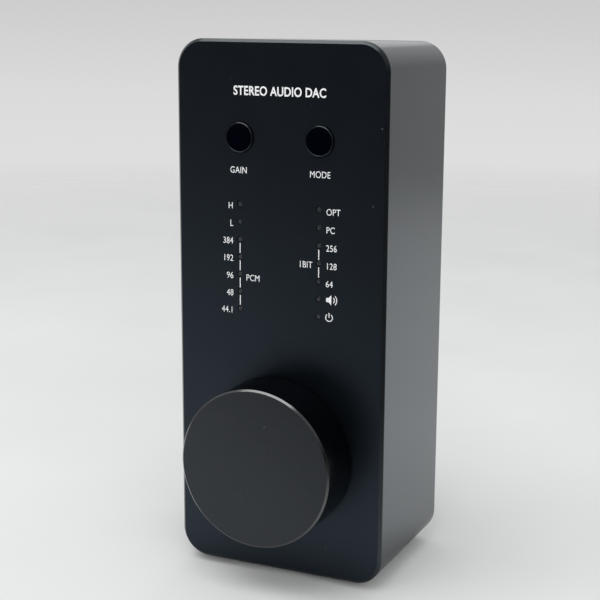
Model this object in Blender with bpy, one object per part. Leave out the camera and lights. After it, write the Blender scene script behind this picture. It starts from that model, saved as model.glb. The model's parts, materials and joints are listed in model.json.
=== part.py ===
"""Desktop DAC tower: an extruded aluminium casing between a machined front panel and a rear
panel, with a volume knob, two push buttons, light guides, two circuit boards and rear sockets.

Sizes are in millimetres and are scaled to metres when a mesh is made. Every piece is placed
from the chassis empty: X to the right, Y into the body from the front face, Z up from the
lower edge of the front panel.
"""

import math

import bmesh
import bpy

MM = 0.001

# Allowances: the gap between pieces, how far a cutting shape runs past the metal, and how deep
# one shape runs into another that it is joined to
GAP = 0.3
PAST = 1.0
OVERLAP = 0.5

# Facets round a circle: large pieces, small pieces, screw bores and light pegs
STEPS = 24
SMALL_STEPS = 16
BORE_STEPS = 12
PEG_STEPS = 10

# Body
BODY_WIDTH = 45.0
BODY_HEIGHT = 107.0
BODY_DEPTH = 32.0
CORNER_RADIUS = 5.7
CORNER_STEPS = 8
WALL = 2.0

# Front panel: a thin flange over the mouth of the casing and a step that locates inside it
FLANGE = 0.75
EDGE_CHAMFER = 0.7
STEP_BACK = 2.9
PANEL_INSET = WALL + GAP
CASING_FRONT = FLANGE + GAP

# Threaded posts behind the front panel, and the channels in the casing that the tie screws use
M2_RADIUS = 1.0
M2_BORE = M2_RADIUS + GAP
M2_HEAD = 1.9
M2_HEAD_HEIGHT = 1.0
M2_KEY = 0.75
M2_KEY_DEPTH = 0.7
TIE_X = 17.5
TIE_INSET = 5.0
TIE_POST_RADIUS = 2.5
TIE_POST_BACK = 6.9
TIE_BORE_FRONT = 1.9
TIE_SCREW_FRONT = 2.4
TIE_HEAD_EDGE = 0.1
TIE_SCREW_BACK = 31.6
CHANNEL_RADIUS = 3.4
CHANNEL_FRONT = TIE_POST_BACK + GAP
CHANNEL_BACK = 29.9

# Rear panel, set inside the casing's back end
REAR_FRONT = CHANNEL_BACK + GAP
REAR_BACK = 31.7
COUNTERSINK_LIP = 0.2

# Rubber feet, each in a shallow pocket under the casing
FOOT_RADIUS = 3.5
FOOT_CHAMFER = 0.3
FOOT_DROP = 1.2
FOOT_POCKET = 0.5
FOOT_X = 13.5
FOOT_DEPTHS = (7.5, 25.5)

# Volume knob and its grub screw
KNOB_HEIGHT = 25.0
KNOB_RADIUS = 16.0
KNOB_FACE = -11.0
KNOB_BACK = -0.8
KNOB_CHAMFER = 0.45
KNOB_BACK_CHAMFER = 0.3
KNOB_WALL = 2.2
KNOB_CAVITY = -7.5
KNOB_STEPS = 56
HUB_RADIUS = 6.0
HUB_BACK = -4.0
GRUB_RADIUS = 1.3
GRUB_BOTTOM = -5.8
GRUB_KEY_TOP = -4.6
GRUB_DEPTH = -5.8

# Rotary encoder: shaft, threaded bushing on a plate, base, washer and nut
SHAFT_RADIUS = 3.0
SHAFT_NECK = 2.2
SHAFT_FLAT = 2.5
SHAFT_CHAMFER = 0.3
SHAFT_FRONT = -9.4
SHAFT_SHOULDER = -3.9
SHAFT_BACK = 8.6
BUSHING_RADIUS = 3.5
BUSHING_FRONT = -3.5
BUSHING_BORE = 2.5
PLATE_HALF = 6.2
PLATE_FRONT = STEP_BACK + GAP
PLATE_BACK = PLATE_FRONT + 0.8
ENCODER_HALF = 6.5
WASHER_RADIUS = 5.8
WASHER_FRONT = -0.8
NUT_ACROSS = 10.0
NUT_FRONT = -3.1
NUT_BACK = -1.1

# Push buttons: low caps that stand proud of the panel, over tactile switches
BUTTON_X = 8.56
BUTTON_HEIGHT = 88.2
BUTTON_RADIUS = 2.9
BUTTON_HOLE = BUTTON_RADIUS + GAP
BUTTON_FACE = -0.4
BUTTON_EDGE = 0.25
BUTTON_FLANGE = 3.8
BUTTON_FLANGE_BACK = 4.0
BUTTON_STEM = 1.5
BUTTON_STEM_BACK = 4.6
SWITCH_HALF = 3.0
SWITCH_FRONT = 5.7
WELL_RADIUS = 1.9
WELL_BACK = 7.7
PLUNGER_RADIUS = 1.6
PLUNGER_FRONT = 4.9
PLUNGER_BACK = 7.2

# Indicator lights, two columns of seven, on moulded light guides
LIGHT_X = 8.56
LIGHT_TOP = 75.17
LIGHT_PITCH = 3.5
LIGHTS = 7
LIGHT_HOLE = 0.6
LIGHT_PEG = 0.5
PEG_FRONT = 0.05
GUIDE_HALF = 1.3
GUIDE_MARGIN = 1.6
GUIDE_FRONT = STEP_BACK + GAP
GUIDE_BACK = GUIDE_FRONT + 1.4
STUB_RADIUS = 0.9
STUB_BACK = 8.2

# Display board behind the front panel
BOARD = 1.6
DISPLAY_FRONT = 9.5
DISPLAY_BACK = DISPLAY_FRONT + BOARD
DISPLAY_HALF_WIDTH = 19.8
DISPLAY_LOW = 9.0
DISPLAY_HIGH = 98.0
LAMP_HALF_WIDTH = 0.65
LAMP_HALF_HEIGHT = 1.0
LAMP_FRONT = DISPLAY_FRONT - 0.9
BOARD_POST_X = 16.5
BOARD_POST_HEIGHTS = (13.0, 94.0)
BOARD_POST_RADIUS = 2.3
BOARD_POST_BACK = DISPLAY_FRONT - GAP
BOARD_BORE_FRONT = 5.7
BOARD_SCREW_FRONT = 6.2
BOARD_HEAD_DOME = 0.3
BOARD_HEAD_EDGE = 0.4
SLOT_HALF = 0.3
SLOT_DEPTH = 0.6

# Main board, on edge along the casing, held by rails at its top and bottom
MAIN_LEFT = -9.9
MAIN_RIGHT = MAIN_LEFT + BOARD
MAIN_FRONT = 13.0
MAIN_BACK = 29.8
MAIN_INSET = 2.5
RAIL = 1.2
RAIL_HEIGHT = 2.0

# Rows of pins that join the two boards
PINS = 8
PIN_PITCH = 2.54
PIN_HALF = 0.32
PIN_FRONT = 13.2
PIN_BACK = 17.5
STRIP_WIDTH = 2.6
STRIP_HALF_LENGTH = 10.2
STRIP_HEIGHT = 45.0
HEADER_BACK = 13.4
SOCKET_FRONT = 13.7
SOCKET_BACK = 19.5
SOCKET_WELL_BACK = 18.0

# Where the parts on the two faces of the main board start
BASE_RIGHT = MAIN_RIGHT + GAP
BASE_LEFT = MAIN_LEFT - GAP

# Square chips by name: thickness, half width, depth and height of the middle
CHIPS = {
    "usb_chip": (1.0, 3.5, 18.2, 94.0),
    "dac_chip": (0.9, 2.5, 16.4, 70.0),
}
CRYSTAL_SIZE = (4.6, 11.0, 3.4)
CRYSTAL_CORNER = 2.2
CRYSTAL_PLACE = (17.0, 81.0)
COIL_SIZE = (6.6, 6.6, 3.0)
COIL_CORNER = 1.0
COIL_PLACE = (21.0, 84.0)
CAN_RADIUS = 4.0
CAN_LENGTH = 8.5
CAN_EDGE = 0.3
CAN_GROOVE = 0.25
CAN_GROOVE_AT = 1.5
CAN_DEPTH = 21.0
CAN_HEIGHTS = (66.0, 55.0, 44.0)

# USB-C receptacles, standing on edge
USB_HEIGHTS = {"usb_data_port": 94.0, "usb_power_port": 82.0}
USB_WIDTH = 3.26
USB_LENGTH = 8.94
USB_CORNER = 1.6
USB_WALL = 0.35
USB_FRONT = 24.0
USB_FLOOR = 25.2
USB_BACK = REAR_BACK + 0.2
TONGUE_HALF = 0.35
TONGUE_HALF_LENGTH = 3.35
TONGUE_BACK = REAR_BACK - 0.8
USB_X = BASE_RIGHT + USB_WIDTH / 2

# Square optical socket with a hinged shutter in its mouth
OPTICAL_HEIGHT = 70.0
OPTICAL_SIZE = 9.6
OPTICAL_CORNER = 0.5
OPTICAL_X = BASE_RIGHT + OPTICAL_SIZE / 2
OPTICAL_FRONT = 20.0
OPTICAL_BACK = REAR_BACK + 0.2
MOUTH_FRONT = 23.4
MOUTH_HALF = 3.2
MOUTH_LOW = -3.1
MOUTH_HIGH = 4.1
HINGE_DEPTH = REAR_BACK - 1.0
HINGE_HEIGHT = 3.3
HINGE_RADIUS = 0.5
SHUTTER_HALF_WIDTH = 2.9
SHUTTER_HALF = 0.35
SHUTTER_DROP = 6.1

# Phono sockets, from the middle of the body
PHONO_HEIGHTS = {"phono_right": 56.0, "phono_left": 42.0}
PHONO_HALF = 5.0
PHONO_FRONT = 20.0
PHONO_SEAT_FRONT = 26.0
PHONO_SHELL_FRONT = 26.3
PHONO_RADIUS = 4.15
PHONO_BORE = 3.55
PHONO_CHAMFER = 0.3
PHONO_TIP = 40.0
INSULATOR_RADIUS = 3.2
INSULATOR_FRONT = 26.6
INSULATOR_BACK = PHONO_TIP - 0.5
CONTACT_RADIUS = 1.6
CONTACT_FRONT = 31.0

# Headphone jacks for 3.5 mm and 6.35 mm plugs
SMALL_JACK_HEIGHT = 29.5
SMALL_JACK_HALF = 3.0
SMALL_JACK_X = BASE_RIGHT + SMALL_JACK_HALF
SMALL_JACK_FRONT = 18.0
SMALL_NOSE = 2.9
SMALL_NOSE_BACK = REAR_BACK + 0.9
SMALL_BORE = 1.8
SMALL_BORE_FRONT = 20.0
LARGE_JACK_HEIGHT = 14.5
LARGE_JACK_HALF = 7.5
LARGE_JACK_FRONT = 14.5
FERRULE = 4.7
FERRULE_BACK = REAR_BACK + 3.3
LARGE_BORE = 3.3
LARGE_BORE_FRONT = 16.0
JACK_NUT_RADIUS = 7.2
JACK_NUT_FRONT = REAR_BACK + GAP
JACK_NUT_BACK = REAR_BACK + 2.1

# The origin is under the middle of the whole object, on the surface it stands on
FACE_Y = -(PHONO_TIP + KNOB_FACE) / 2

# Colour, roughness and metallic value of each finish
FINISHES = {
    "black_anodised": ((0.012, 0.013, 0.015), 0.42, 0.0),
    "grey_anodised": ((0.02, 0.021, 0.023), 0.45, 0.0),
    "gloss_black": ((0.004, 0.004, 0.005), 0.12, 0.0),
    "rubber": ((0.015, 0.015, 0.015), 0.85, 0.0),
    "steel": ((0.55, 0.55, 0.56), 0.3, 1.0),
    "black_steel": ((0.03, 0.03, 0.032), 0.35, 1.0),
    "frosted_clear": ((0.55, 0.56, 0.58), 0.35, 0.0),
    "board_green": ((0.01, 0.09, 0.04), 0.4, 0.0),
    "black_plastic": ((0.014, 0.014, 0.015), 0.5, 0.0),
    "red_plastic": ((0.5, 0.02, 0.02), 0.4, 0.0),
    "white_plastic": ((0.75, 0.75, 0.73), 0.4, 0.0),
    "nickel": ((0.62, 0.6, 0.57), 0.22, 1.0),
    "aluminium": ((0.7, 0.7, 0.71), 0.35, 1.0),
}


def clear_scene():
    for item in list(bpy.data.objects):
        bpy.data.objects.remove(item, do_unlink=True)


# Outlines, as lists of points in a plane

def circle(radius, steps=STEPS, centre=(0.0, 0.0)):
    angles = [2 * math.pi * i / steps for i in range(steps)]
    return [(centre[0] + radius * math.cos(a), centre[1] + radius * math.sin(a)) for a in angles]


def rounded(width, height, radius, steps=6, centre=(0.0, 0.0)):
    """A rectangle with round corners, each in the given number of steps."""
    points = []
    for quarter, (side_x, side_z) in enumerate(((1, 1), (-1, 1), (-1, -1), (1, -1))):
        x = centre[0] + side_x * (width / 2 - radius)
        z = centre[1] + side_z * (height / 2 - radius)
        for i in range(steps + 1):
            angle = (quarter + i / steps) * math.pi / 2
            points.append((x + radius * math.cos(angle), z + radius * math.sin(angle)))
    return points


def rectangle(low, high):
    return [(low[0], low[1]), (high[0], low[1]), (high[0], high[1]), (low[0], high[1])]


# Shapes, as lists of (points, faces)

def loft(rings, axis="Y", closed=False):
    """Skin a row of outlines, each at its own distance along the axis.

    An open row gets an end face at each end, and a closed one joins back to its first outline.
    """
    turn = {
        "X": lambda u, v, w: (w, u, v),
        "Y": lambda u, v, w: (u, w, v),
        "Z": lambda u, v, w: (u, v, w),
    }[axis]
    points = [turn(u, v, distance) for outline, distance in rings for u, v in outline]
    count = len(rings[0][0])
    faces = []
    for ring in range(len(rings) if closed else len(rings) - 1):
        here = ring * count
        there = (ring + 1) % len(rings) * count
        for i in range(count):
            j = (i + 1) % count
            faces.append((here + i, here + j, there + j, there + i))
    if not closed:
        faces.append(tuple(range(count)))
        faces.append(tuple(range(len(points) - count, len(points))))
    return points, faces


def prism(outline, start, end, axis="Y"):
    return loft([(outline, start), (outline, end)], axis)


def block(x_range, y_range, z_range):
    outline = rectangle((x_range[0], z_range[0]), (x_range[1], z_range[1]))
    return prism(outline, y_range[0], y_range[1])


def rod(radius, start, end, centre=(0.0, 0.0), steps=STEPS, axis="Y"):
    return prism(circle(radius, steps, centre), start, end, axis)


def turned(profile, centre=(0.0, 0.0), steps=STEPS, axis="Y", closed=False):
    """A turned piece from (radius, distance) pairs along its axis."""
    return loft([(circle(r, steps, centre), d) for r, d in profile], axis, closed)


# Objects

def make_material(name, finish):
    colour, roughness, metallic = FINISHES[finish]
    material = bpy.data.materials.new(name)
    material.use_nodes = True
    shader = material.node_tree.nodes["Principled BSDF"]
    shader.inputs["Base Color"].default_value = (*colour, 1.0)
    shader.inputs["Roughness"].default_value = roughness
    shader.inputs["Metallic"].default_value = metallic
    return material


def make_object(name, shapes, at):
    """One object from one or more closed shapes, shaded smooth except at its real edges."""
    work = bmesh.new()
    for points, faces in shapes:
        corners = [work.verts.new([value * MM for value in point]) for point in points]
        for face in faces:
            work.faces.new([corners[i] for i in face])
    bmesh.ops.recalc_face_normals(work, faces=work.faces[:])
    mesh = bpy.data.meshes.new(name)
    work.to_mesh(mesh)
    work.free()
    mesh.shade_smooth()
    mesh.set_sharp_from_angle(angle=math.radians(30))
    item = bpy.data.objects.new(name, mesh)
    bpy.context.collection.objects.link(item)
    item.location = [value * MM for value in at]
    item.parent = bpy.data.objects["chassis"]
    return item


def piece(name, finish, shape, at=(0.0, 0.0, 0.0), joins=(), cuts=(), inlays=()):
    """A named piece: a closed shape, with others joined to it, cut out of it and set in the cuts.

    Each entry of joins, cuts and inlays is a list of closed shapes that don't touch each other.
    """
    body = make_object(name, [shape], at)
    body.data.materials.append(make_material(name, finish))
    steps = [("UNION", shapes) for shapes in joins]
    steps += [("DIFFERENCE", shapes) for shapes in cuts]
    steps += [("UNION", shapes) for shapes in inlays]
    for number, (operation, shapes) in enumerate(steps, 1):
        tool = make_object(f"{name}_tool_{number}", shapes, at)
        tool.hide_render = True
        tool.display_type = "WIRE"
        modifier = body.modifiers.new(tool.name, "BOOLEAN")
        modifier.operation = operation
        modifier.solver = "EXACT"
        modifier.object = tool


def make_chassis():
    chassis = bpy.data.objects.new("chassis", None)
    bpy.context.collection.objects.link(chassis)
    chassis.location = (0.0, FACE_Y * MM, FOOT_DROP * MM)


# Places that several pieces share

def tie_points():
    return [(x, z) for z in (TIE_INSET, BODY_HEIGHT - TIE_INSET) for x in (-TIE_X, TIE_X)]


def board_posts():
    return [(x, z) for z in BOARD_POST_HEIGHTS for x in (-BOARD_POST_X, BOARD_POST_X)]


def light_heights():
    return [LIGHT_TOP - LIGHT_PITCH * i for i in range(LIGHTS)]


def body_outline(inset):
    return rounded(BODY_WIDTH - 2 * inset, BODY_HEIGHT - 2 * inset, CORNER_RADIUS - inset,
                   CORNER_STEPS, (0.0, BODY_HEIGHT / 2))


# Casing and panels

def front_panel():
    flange = loft([
        (body_outline(EDGE_CHAMFER), 0.0),
        (body_outline(0.0), EDGE_CHAMFER),
        (body_outline(0.0), FLANGE),
    ])
    step = prism(body_outline(PANEL_INSET), FLANGE - GAP, STEP_BACK)
    start = STEP_BACK - OVERLAP
    tie_posts = [rod(TIE_POST_RADIUS, start, TIE_POST_BACK, p, BORE_STEPS) for p in tie_points()]
    posts = [rod(BOARD_POST_RADIUS, start, BOARD_POST_BACK, p, BORE_STEPS) for p in board_posts()]
    through = (-PAST, STEP_BACK + PAST)
    buttons = [rod(BUTTON_HOLE, *through, (x, BUTTON_HEIGHT)) for x in (-BUTTON_X, BUTTON_X)]
    lights = [
        rod(LIGHT_HOLE, *through, (x, z), PEG_STEPS)
        for x in (-LIGHT_X, LIGHT_X) for z in light_heights()
    ]
    shaft_hole = [rod(BUSHING_RADIUS + GAP, *through, (0.0, KNOB_HEIGHT))]
    tie_bores = [rod(M2_BORE, TIE_BORE_FRONT, TIE_POST_BACK + PAST, p, BORE_STEPS) for p in tie_points()]
    board_bores = [
        rod(M2_BORE, BOARD_BORE_FRONT, BOARD_POST_BACK + PAST, p, BORE_STEPS) for p in board_posts()
    ]
    piece("front_panel", "black_anodised", flange, joins=[[step], tie_posts + posts],
          cuts=[buttons + lights + shaft_hole + tie_bores + board_bores])


def casing():
    """An extruded tube with round screw channels in its corners and rails for the main board."""
    tube = loft([
        (body_outline(0.0), CASING_FRONT),
        (body_outline(0.0), BODY_DEPTH),
        (body_outline(WALL), BODY_DEPTH),
        (body_outline(WALL), CASING_FRONT),
    ], closed=True)
    channels = [rod(CHANNEL_RADIUS, CHANNEL_FRONT, CHANNEL_BACK, p) for p in tie_points()]
    inside = WALL - OVERLAP
    rail_heights = (
        (inside, WALL + RAIL_HEIGHT),
        (BODY_HEIGHT - WALL - RAIL_HEIGHT, BODY_HEIGHT - inside),
    )
    rails = [
        block((x, x + RAIL), (CHANNEL_FRONT, CHANNEL_BACK), z_range)
        for x in (MAIN_LEFT - GAP - RAIL, MAIN_RIGHT + GAP) for z_range in rail_heights
    ]
    bores = [rod(M2_BORE, CHANNEL_FRONT - PAST, CHANNEL_BACK + PAST, p, BORE_STEPS) for p in tie_points()]
    pockets = [
        rod(FOOT_RADIUS + GAP, -PAST, FOOT_POCKET, (x, y), axis="Z")
        for x in (-FOOT_X, FOOT_X) for y in FOOT_DEPTHS
    ]
    piece("casing", "black_anodised", tube, joins=[channels + rails], cuts=[bores + pockets])


def rear_panel():
    plate = prism(body_outline(PANEL_INSET), REAR_FRONT, REAR_BACK)
    through = (REAR_FRONT - PAST, REAR_BACK + PAST)
    countersink = M2_HEAD + GAP
    holes = [
        turned([(M2_BORE, through[0]), (M2_BORE, REAR_BACK - COUNTERSINK_LIP - M2_HEAD_HEIGHT),
                (countersink, REAR_BACK - COUNTERSINK_LIP), (countersink, through[1])], p, SMALL_STEPS)
        for p in tie_points()
    ]
    for height in USB_HEIGHTS.values():
        slot = rounded(USB_WIDTH + 2 * GAP, USB_LENGTH + 2 * GAP, USB_CORNER + GAP, 6,
                       (USB_X, height))
        holes.append(prism(slot, *through))
    side = OPTICAL_SIZE + 2 * GAP
    holes.append(prism(rounded(side, side, OPTICAL_CORNER + GAP, 3, (OPTICAL_X, OPTICAL_HEIGHT)),
                       *through))
    for height in PHONO_HEIGHTS.values():
        holes.append(rod(PHONO_RADIUS + GAP, *through, (0.0, height)))
    holes.append(rod(SMALL_NOSE + GAP, *through, (SMALL_JACK_X, SMALL_JACK_HEIGHT)))
    holes.append(rod(FERRULE + GAP, *through, (0.0, LARGE_JACK_HEIGHT)))
    piece("rear_panel", "black_anodised", plate, cuts=[holes])


def tie_screws():
    """Long countersunk screws through the rear panel and the casing into the front panel."""
    for number, (x, z) in enumerate(tie_points(), 1):
        screw = turned([
            (M2_RADIUS, TIE_SCREW_FRONT), (M2_RADIUS, TIE_SCREW_BACK - M2_HEAD_HEIGHT),
            (M2_HEAD, TIE_SCREW_BACK - TIE_HEAD_EDGE), (M2_HEAD, TIE_SCREW_BACK),
        ], steps=SMALL_STEPS)
        key = prism(circle(M2_KEY, 6), TIE_SCREW_BACK - M2_KEY_DEPTH, TIE_SCREW_BACK + PAST)
        piece(f"tie_screw_{number}", "black_steel", screw, (x, 0.0, z), cuts=[[key]])


def feet():
    places = [(x, y) for x in (-FOOT_X, FOOT_X) for y in FOOT_DEPTHS]
    for number, (x, y) in enumerate(places, 1):
        foot = turned([
            (FOOT_RADIUS - FOOT_CHAMFER, -FOOT_DROP),
            (FOOT_RADIUS, FOOT_CHAMFER - FOOT_DROP),
            (FOOT_RADIUS, FOOT_POCKET - GAP),
        ], axis="Z")
        piece(f"foot_{number}", "rubber", foot, (x, y, 0.0))


# Volume control

def volume_knob():
    """A turned cup with a hub for the shaft, and a side hole to reach the grub screw."""
    cup = turned([
        (KNOB_RADIUS - KNOB_CHAMFER, KNOB_FACE),
        (KNOB_RADIUS, KNOB_FACE + KNOB_CHAMFER),
        (KNOB_RADIUS, KNOB_BACK - KNOB_BACK_CHAMFER),
        (KNOB_RADIUS - KNOB_BACK_CHAMFER, KNOB_BACK),
    ], steps=KNOB_STEPS)
    inside = KNOB_RADIUS - KNOB_WALL
    clearance = rod(inside, HUB_BACK, KNOB_BACK + PAST, steps=KNOB_STEPS)
    annulus = turned([
        (inside, HUB_BACK + OVERLAP), (inside, KNOB_CAVITY),
        (HUB_RADIUS, KNOB_CAVITY), (HUB_RADIUS, HUB_BACK + OVERLAP),
    ], steps=KNOB_STEPS, closed=True)
    shaft_bore = rod(SHAFT_RADIUS + GAP, SHAFT_FRONT - GAP, HUB_BACK + PAST)
    screw_bore = rod(GRUB_RADIUS + GAP, -KNOB_RADIUS - PAST, 0.0, (0.0, GRUB_DEPTH),
                     SMALL_STEPS, "Z")
    piece("volume_knob", "grey_anodised", cup, (0.0, 0.0, KNOB_HEIGHT),
          cuts=[[annulus], [clearance], [shaft_bore], [screw_bore]])


def knob_set_screw():
    """A grub screw that bears on the flat of the shaft."""
    screw = rod(GRUB_RADIUS, GRUB_BOTTOM, -SHAFT_FLAT - GAP, (0.0, GRUB_DEPTH), SMALL_STEPS, "Z")
    key = prism(circle(M2_KEY, 6, (0.0, GRUB_DEPTH)), GRUB_BOTTOM - PAST, GRUB_KEY_TOP, "Z")
    piece("knob_set_screw", "black_steel", screw, (0.0, 0.0, KNOB_HEIGHT), cuts=[[key]])


def encoder():
    at = (0.0, 0.0, KNOB_HEIGHT)
    shaft = turned([
        (SHAFT_RADIUS - SHAFT_CHAMFER, SHAFT_FRONT),
        (SHAFT_RADIUS, SHAFT_FRONT + SHAFT_CHAMFER),
        (SHAFT_RADIUS, SHAFT_SHOULDER),
        (SHAFT_NECK, SHAFT_SHOULDER),
        (SHAFT_NECK, SHAFT_BACK),
    ])
    flat = block((-SHAFT_RADIUS - PAST, SHAFT_RADIUS + PAST),
                 (SHAFT_FRONT - PAST, SHAFT_SHOULDER - OVERLAP),
                 (-SHAFT_RADIUS - PAST, -SHAFT_FLAT))
    piece("encoder_shaft", "steel", shaft, at, cuts=[[flat]])

    plate = block((-PLATE_HALF, PLATE_HALF), (PLATE_FRONT, PLATE_BACK), (-PLATE_HALF, PLATE_HALF))
    bushing = rod(BUSHING_RADIUS, BUSHING_FRONT, PLATE_FRONT + OVERLAP)
    bore = rod(BUSHING_BORE, BUSHING_FRONT - PAST, PLATE_BACK + PAST)
    piece("encoder_bushing", "nickel", plate, at, joins=[[bushing]], cuts=[[bore]])

    base = block((-ENCODER_HALF, ENCODER_HALF), (PLATE_BACK + GAP, DISPLAY_FRONT - GAP),
                 (-ENCODER_HALF, ENCODER_HALF))
    socket = rod(BUSHING_BORE, PLATE_BACK - PAST, SHAFT_BACK + GAP)
    piece("encoder_base", "black_plastic", base, at, cuts=[[socket]])

    hole = BUSHING_RADIUS + GAP
    washer = turned([
        (WASHER_RADIUS, -GAP), (WASHER_RADIUS, WASHER_FRONT), (hole, WASHER_FRONT), (hole, -GAP),
    ], closed=True)
    piece("encoder_washer", "steel", washer, at)

    nut = prism(circle(NUT_ACROSS / math.sqrt(3), 6), NUT_FRONT, NUT_BACK)
    thread = rod(hole, NUT_FRONT - PAST, NUT_BACK + PAST)
    piece("encoder_nut", "nickel", nut, at, cuts=[[thread]])


# Push buttons

def push_button(name, x):
    """A cap with a flange behind the panel, over a tactile switch on the display board."""
    at = (x, 0.0, BUTTON_HEIGHT)
    cap = turned([
        (BUTTON_RADIUS - BUTTON_EDGE, BUTTON_FACE),
        (BUTTON_RADIUS, BUTTON_FACE + BUTTON_EDGE),
        (BUTTON_RADIUS, STEP_BACK + GAP),
        (BUTTON_FLANGE, STEP_BACK + GAP),
        (BUTTON_FLANGE, BUTTON_FLANGE_BACK),
        (BUTTON_STEM, BUTTON_FLANGE_BACK),
        (BUTTON_STEM, BUTTON_STEM_BACK),
    ])
    piece(f"{name}_button", "gloss_black", cap, at)

    switch = block((-SWITCH_HALF, SWITCH_HALF), (SWITCH_FRONT, DISPLAY_FRONT - GAP),
                   (-SWITCH_HALF, SWITCH_HALF))
    well = rod(WELL_RADIUS, SWITCH_FRONT - PAST, WELL_BACK, steps=SMALL_STEPS)
    piece(f"{name}_switch_body", "black_plastic", switch, at, cuts=[[well]])

    plunger = rod(PLUNGER_RADIUS, PLUNGER_FRONT, PLUNGER_BACK, steps=SMALL_STEPS)
    piece(f"{name}_switch_plunger", "black_plastic", plunger, at)


# Indicator lights and display board

def light_guide(name, x):
    """A moulded bar with a peg through the panel and a stub over the lamp for each light."""
    heights = light_heights()
    bar = block((-GUIDE_HALF, GUIDE_HALF), (GUIDE_FRONT, GUIDE_BACK),
                (heights[-1] - GUIDE_MARGIN, heights[0] + GUIDE_MARGIN))
    pegs = [rod(LIGHT_PEG, PEG_FRONT, GUIDE_FRONT + OVERLAP, (0.0, z), PEG_STEPS) for z in heights]
    stubs = [rod(STUB_RADIUS, GUIDE_BACK - OVERLAP, STUB_BACK, (0.0, z), PEG_STEPS) for z in heights]
    piece(name, "frosted_clear", bar, (x, 0.0, 0.0), joins=[pegs, stubs])


def display_board():
    board = prism(rectangle((-DISPLAY_HALF_WIDTH, DISPLAY_LOW), (DISPLAY_HALF_WIDTH, DISPLAY_HIGH)),
                  DISPLAY_FRONT, DISPLAY_BACK)
    lamps = [
        block((x - LAMP_HALF_WIDTH, x + LAMP_HALF_WIDTH), (LAMP_FRONT, DISPLAY_FRONT + OVERLAP),
              (z - LAMP_HALF_HEIGHT, z + LAMP_HALF_HEIGHT))
        for x in (-LIGHT_X, LIGHT_X) for z in light_heights()
    ]
    holes = [rod(M2_BORE, DISPLAY_FRONT - PAST, DISPLAY_BACK + PAST, p, BORE_STEPS) for p in board_posts()]
    piece("display_board", "board_green", board, joins=[lamps], cuts=[holes])


def board_screws():
    """Slotted screws that hold the display board on its posts."""
    under = DISPLAY_BACK + GAP
    edge = under + M2_HEAD_HEIGHT
    top = edge + BOARD_HEAD_DOME
    for number, (x, z) in enumerate(board_posts(), 1):
        screw = turned([
            (M2_RADIUS, BOARD_SCREW_FRONT), (M2_RADIUS, under), (M2_HEAD, under),
            (M2_HEAD, edge), (M2_HEAD - BOARD_HEAD_EDGE, top),
        ], steps=SMALL_STEPS)
        slot = block((-SLOT_HALF, SLOT_HALF), (top - SLOT_DEPTH, top + PAST),
                     (-M2_HEAD - PAST, M2_HEAD + PAST))
        piece(f"board_screw_{number}", "steel", screw, (x, 0.0, z), cuts=[[slot]])


# Main board

def main_board():
    board = block((MAIN_LEFT, MAIN_RIGHT), (MAIN_FRONT, MAIN_BACK),
                  (MAIN_INSET, BODY_HEIGHT - MAIN_INSET))
    piece("main_board", "board_green", board)


def pin_rows(half, y_range):
    """Square bars at the places of the pins, for the pins themselves and for their wells."""
    x = BASE_RIGHT + STRIP_WIDTH / 2
    heights = [STRIP_HEIGHT + PIN_PITCH * (i - (PINS - 1) / 2) for i in range(PINS)]
    return [block((x - half, x + half), y_range, (z - half, z + half)) for z in heights]


def board_connector():
    """A pin strip on the display board that plugs into a socket strip on the main board."""
    x_range = (BASE_RIGHT, BASE_RIGHT + STRIP_WIDTH)
    z_range = (STRIP_HEIGHT - STRIP_HALF_LENGTH, STRIP_HEIGHT + STRIP_HALF_LENGTH)
    strip = block(x_range, (DISPLAY_BACK + GAP, HEADER_BACK), z_range)
    piece("pin_header", "black_plastic", strip, joins=[pin_rows(PIN_HALF, (PIN_FRONT, PIN_BACK))])

    socket = block(x_range, (SOCKET_FRONT, SOCKET_BACK), z_range)
    wells = pin_rows(PIN_HALF + GAP, (SOCKET_FRONT - PAST, SOCKET_WELL_BACK))
    piece("pin_socket", "black_plastic", socket, cuts=[wells])


def chips():
    """Chips and a crystal on the right face of the main board."""
    for name, (thickness, half, depth, height) in CHIPS.items():
        chip = block((BASE_RIGHT, BASE_RIGHT + thickness), (-half, half), (-half, half))
        piece(name, "black_plastic", chip, (0.0, depth, height))
    width, length, thickness = CRYSTAL_SIZE
    crystal = prism(rounded(width, length, CRYSTAL_CORNER), BASE_RIGHT, BASE_RIGHT + thickness, "X")
    piece("crystal", "steel", crystal, (0.0, *CRYSTAL_PLACE))


def power_parts():
    """A coil and three capacitors on the left face of the main board."""
    width, length, thickness = COIL_SIZE
    coil = prism(rounded(width, length, COIL_CORNER, 3), BASE_LEFT - thickness, BASE_LEFT, "X")
    piece("power_coil", "black_plastic", coil, (0.0, *COIL_PLACE))
    end = BASE_LEFT - CAN_LENGTH
    groove = BASE_LEFT - CAN_GROOVE_AT
    for number, height in enumerate(CAN_HEIGHTS, 1):
        can = turned([
            (CAN_RADIUS - CAN_EDGE, end),
            (CAN_RADIUS, end + CAN_EDGE),
            (CAN_RADIUS, groove - CAN_EDGE),
            (CAN_RADIUS - CAN_GROOVE, groove),
            (CAN_RADIUS, groove + CAN_EDGE),
            (CAN_RADIUS, BASE_LEFT),
        ], axis="X", steps=SMALL_STEPS)
        piece(f"capacitor_{number}", "aluminium", can, (0.0, CAN_DEPTH, height))


# Rear sockets

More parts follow.
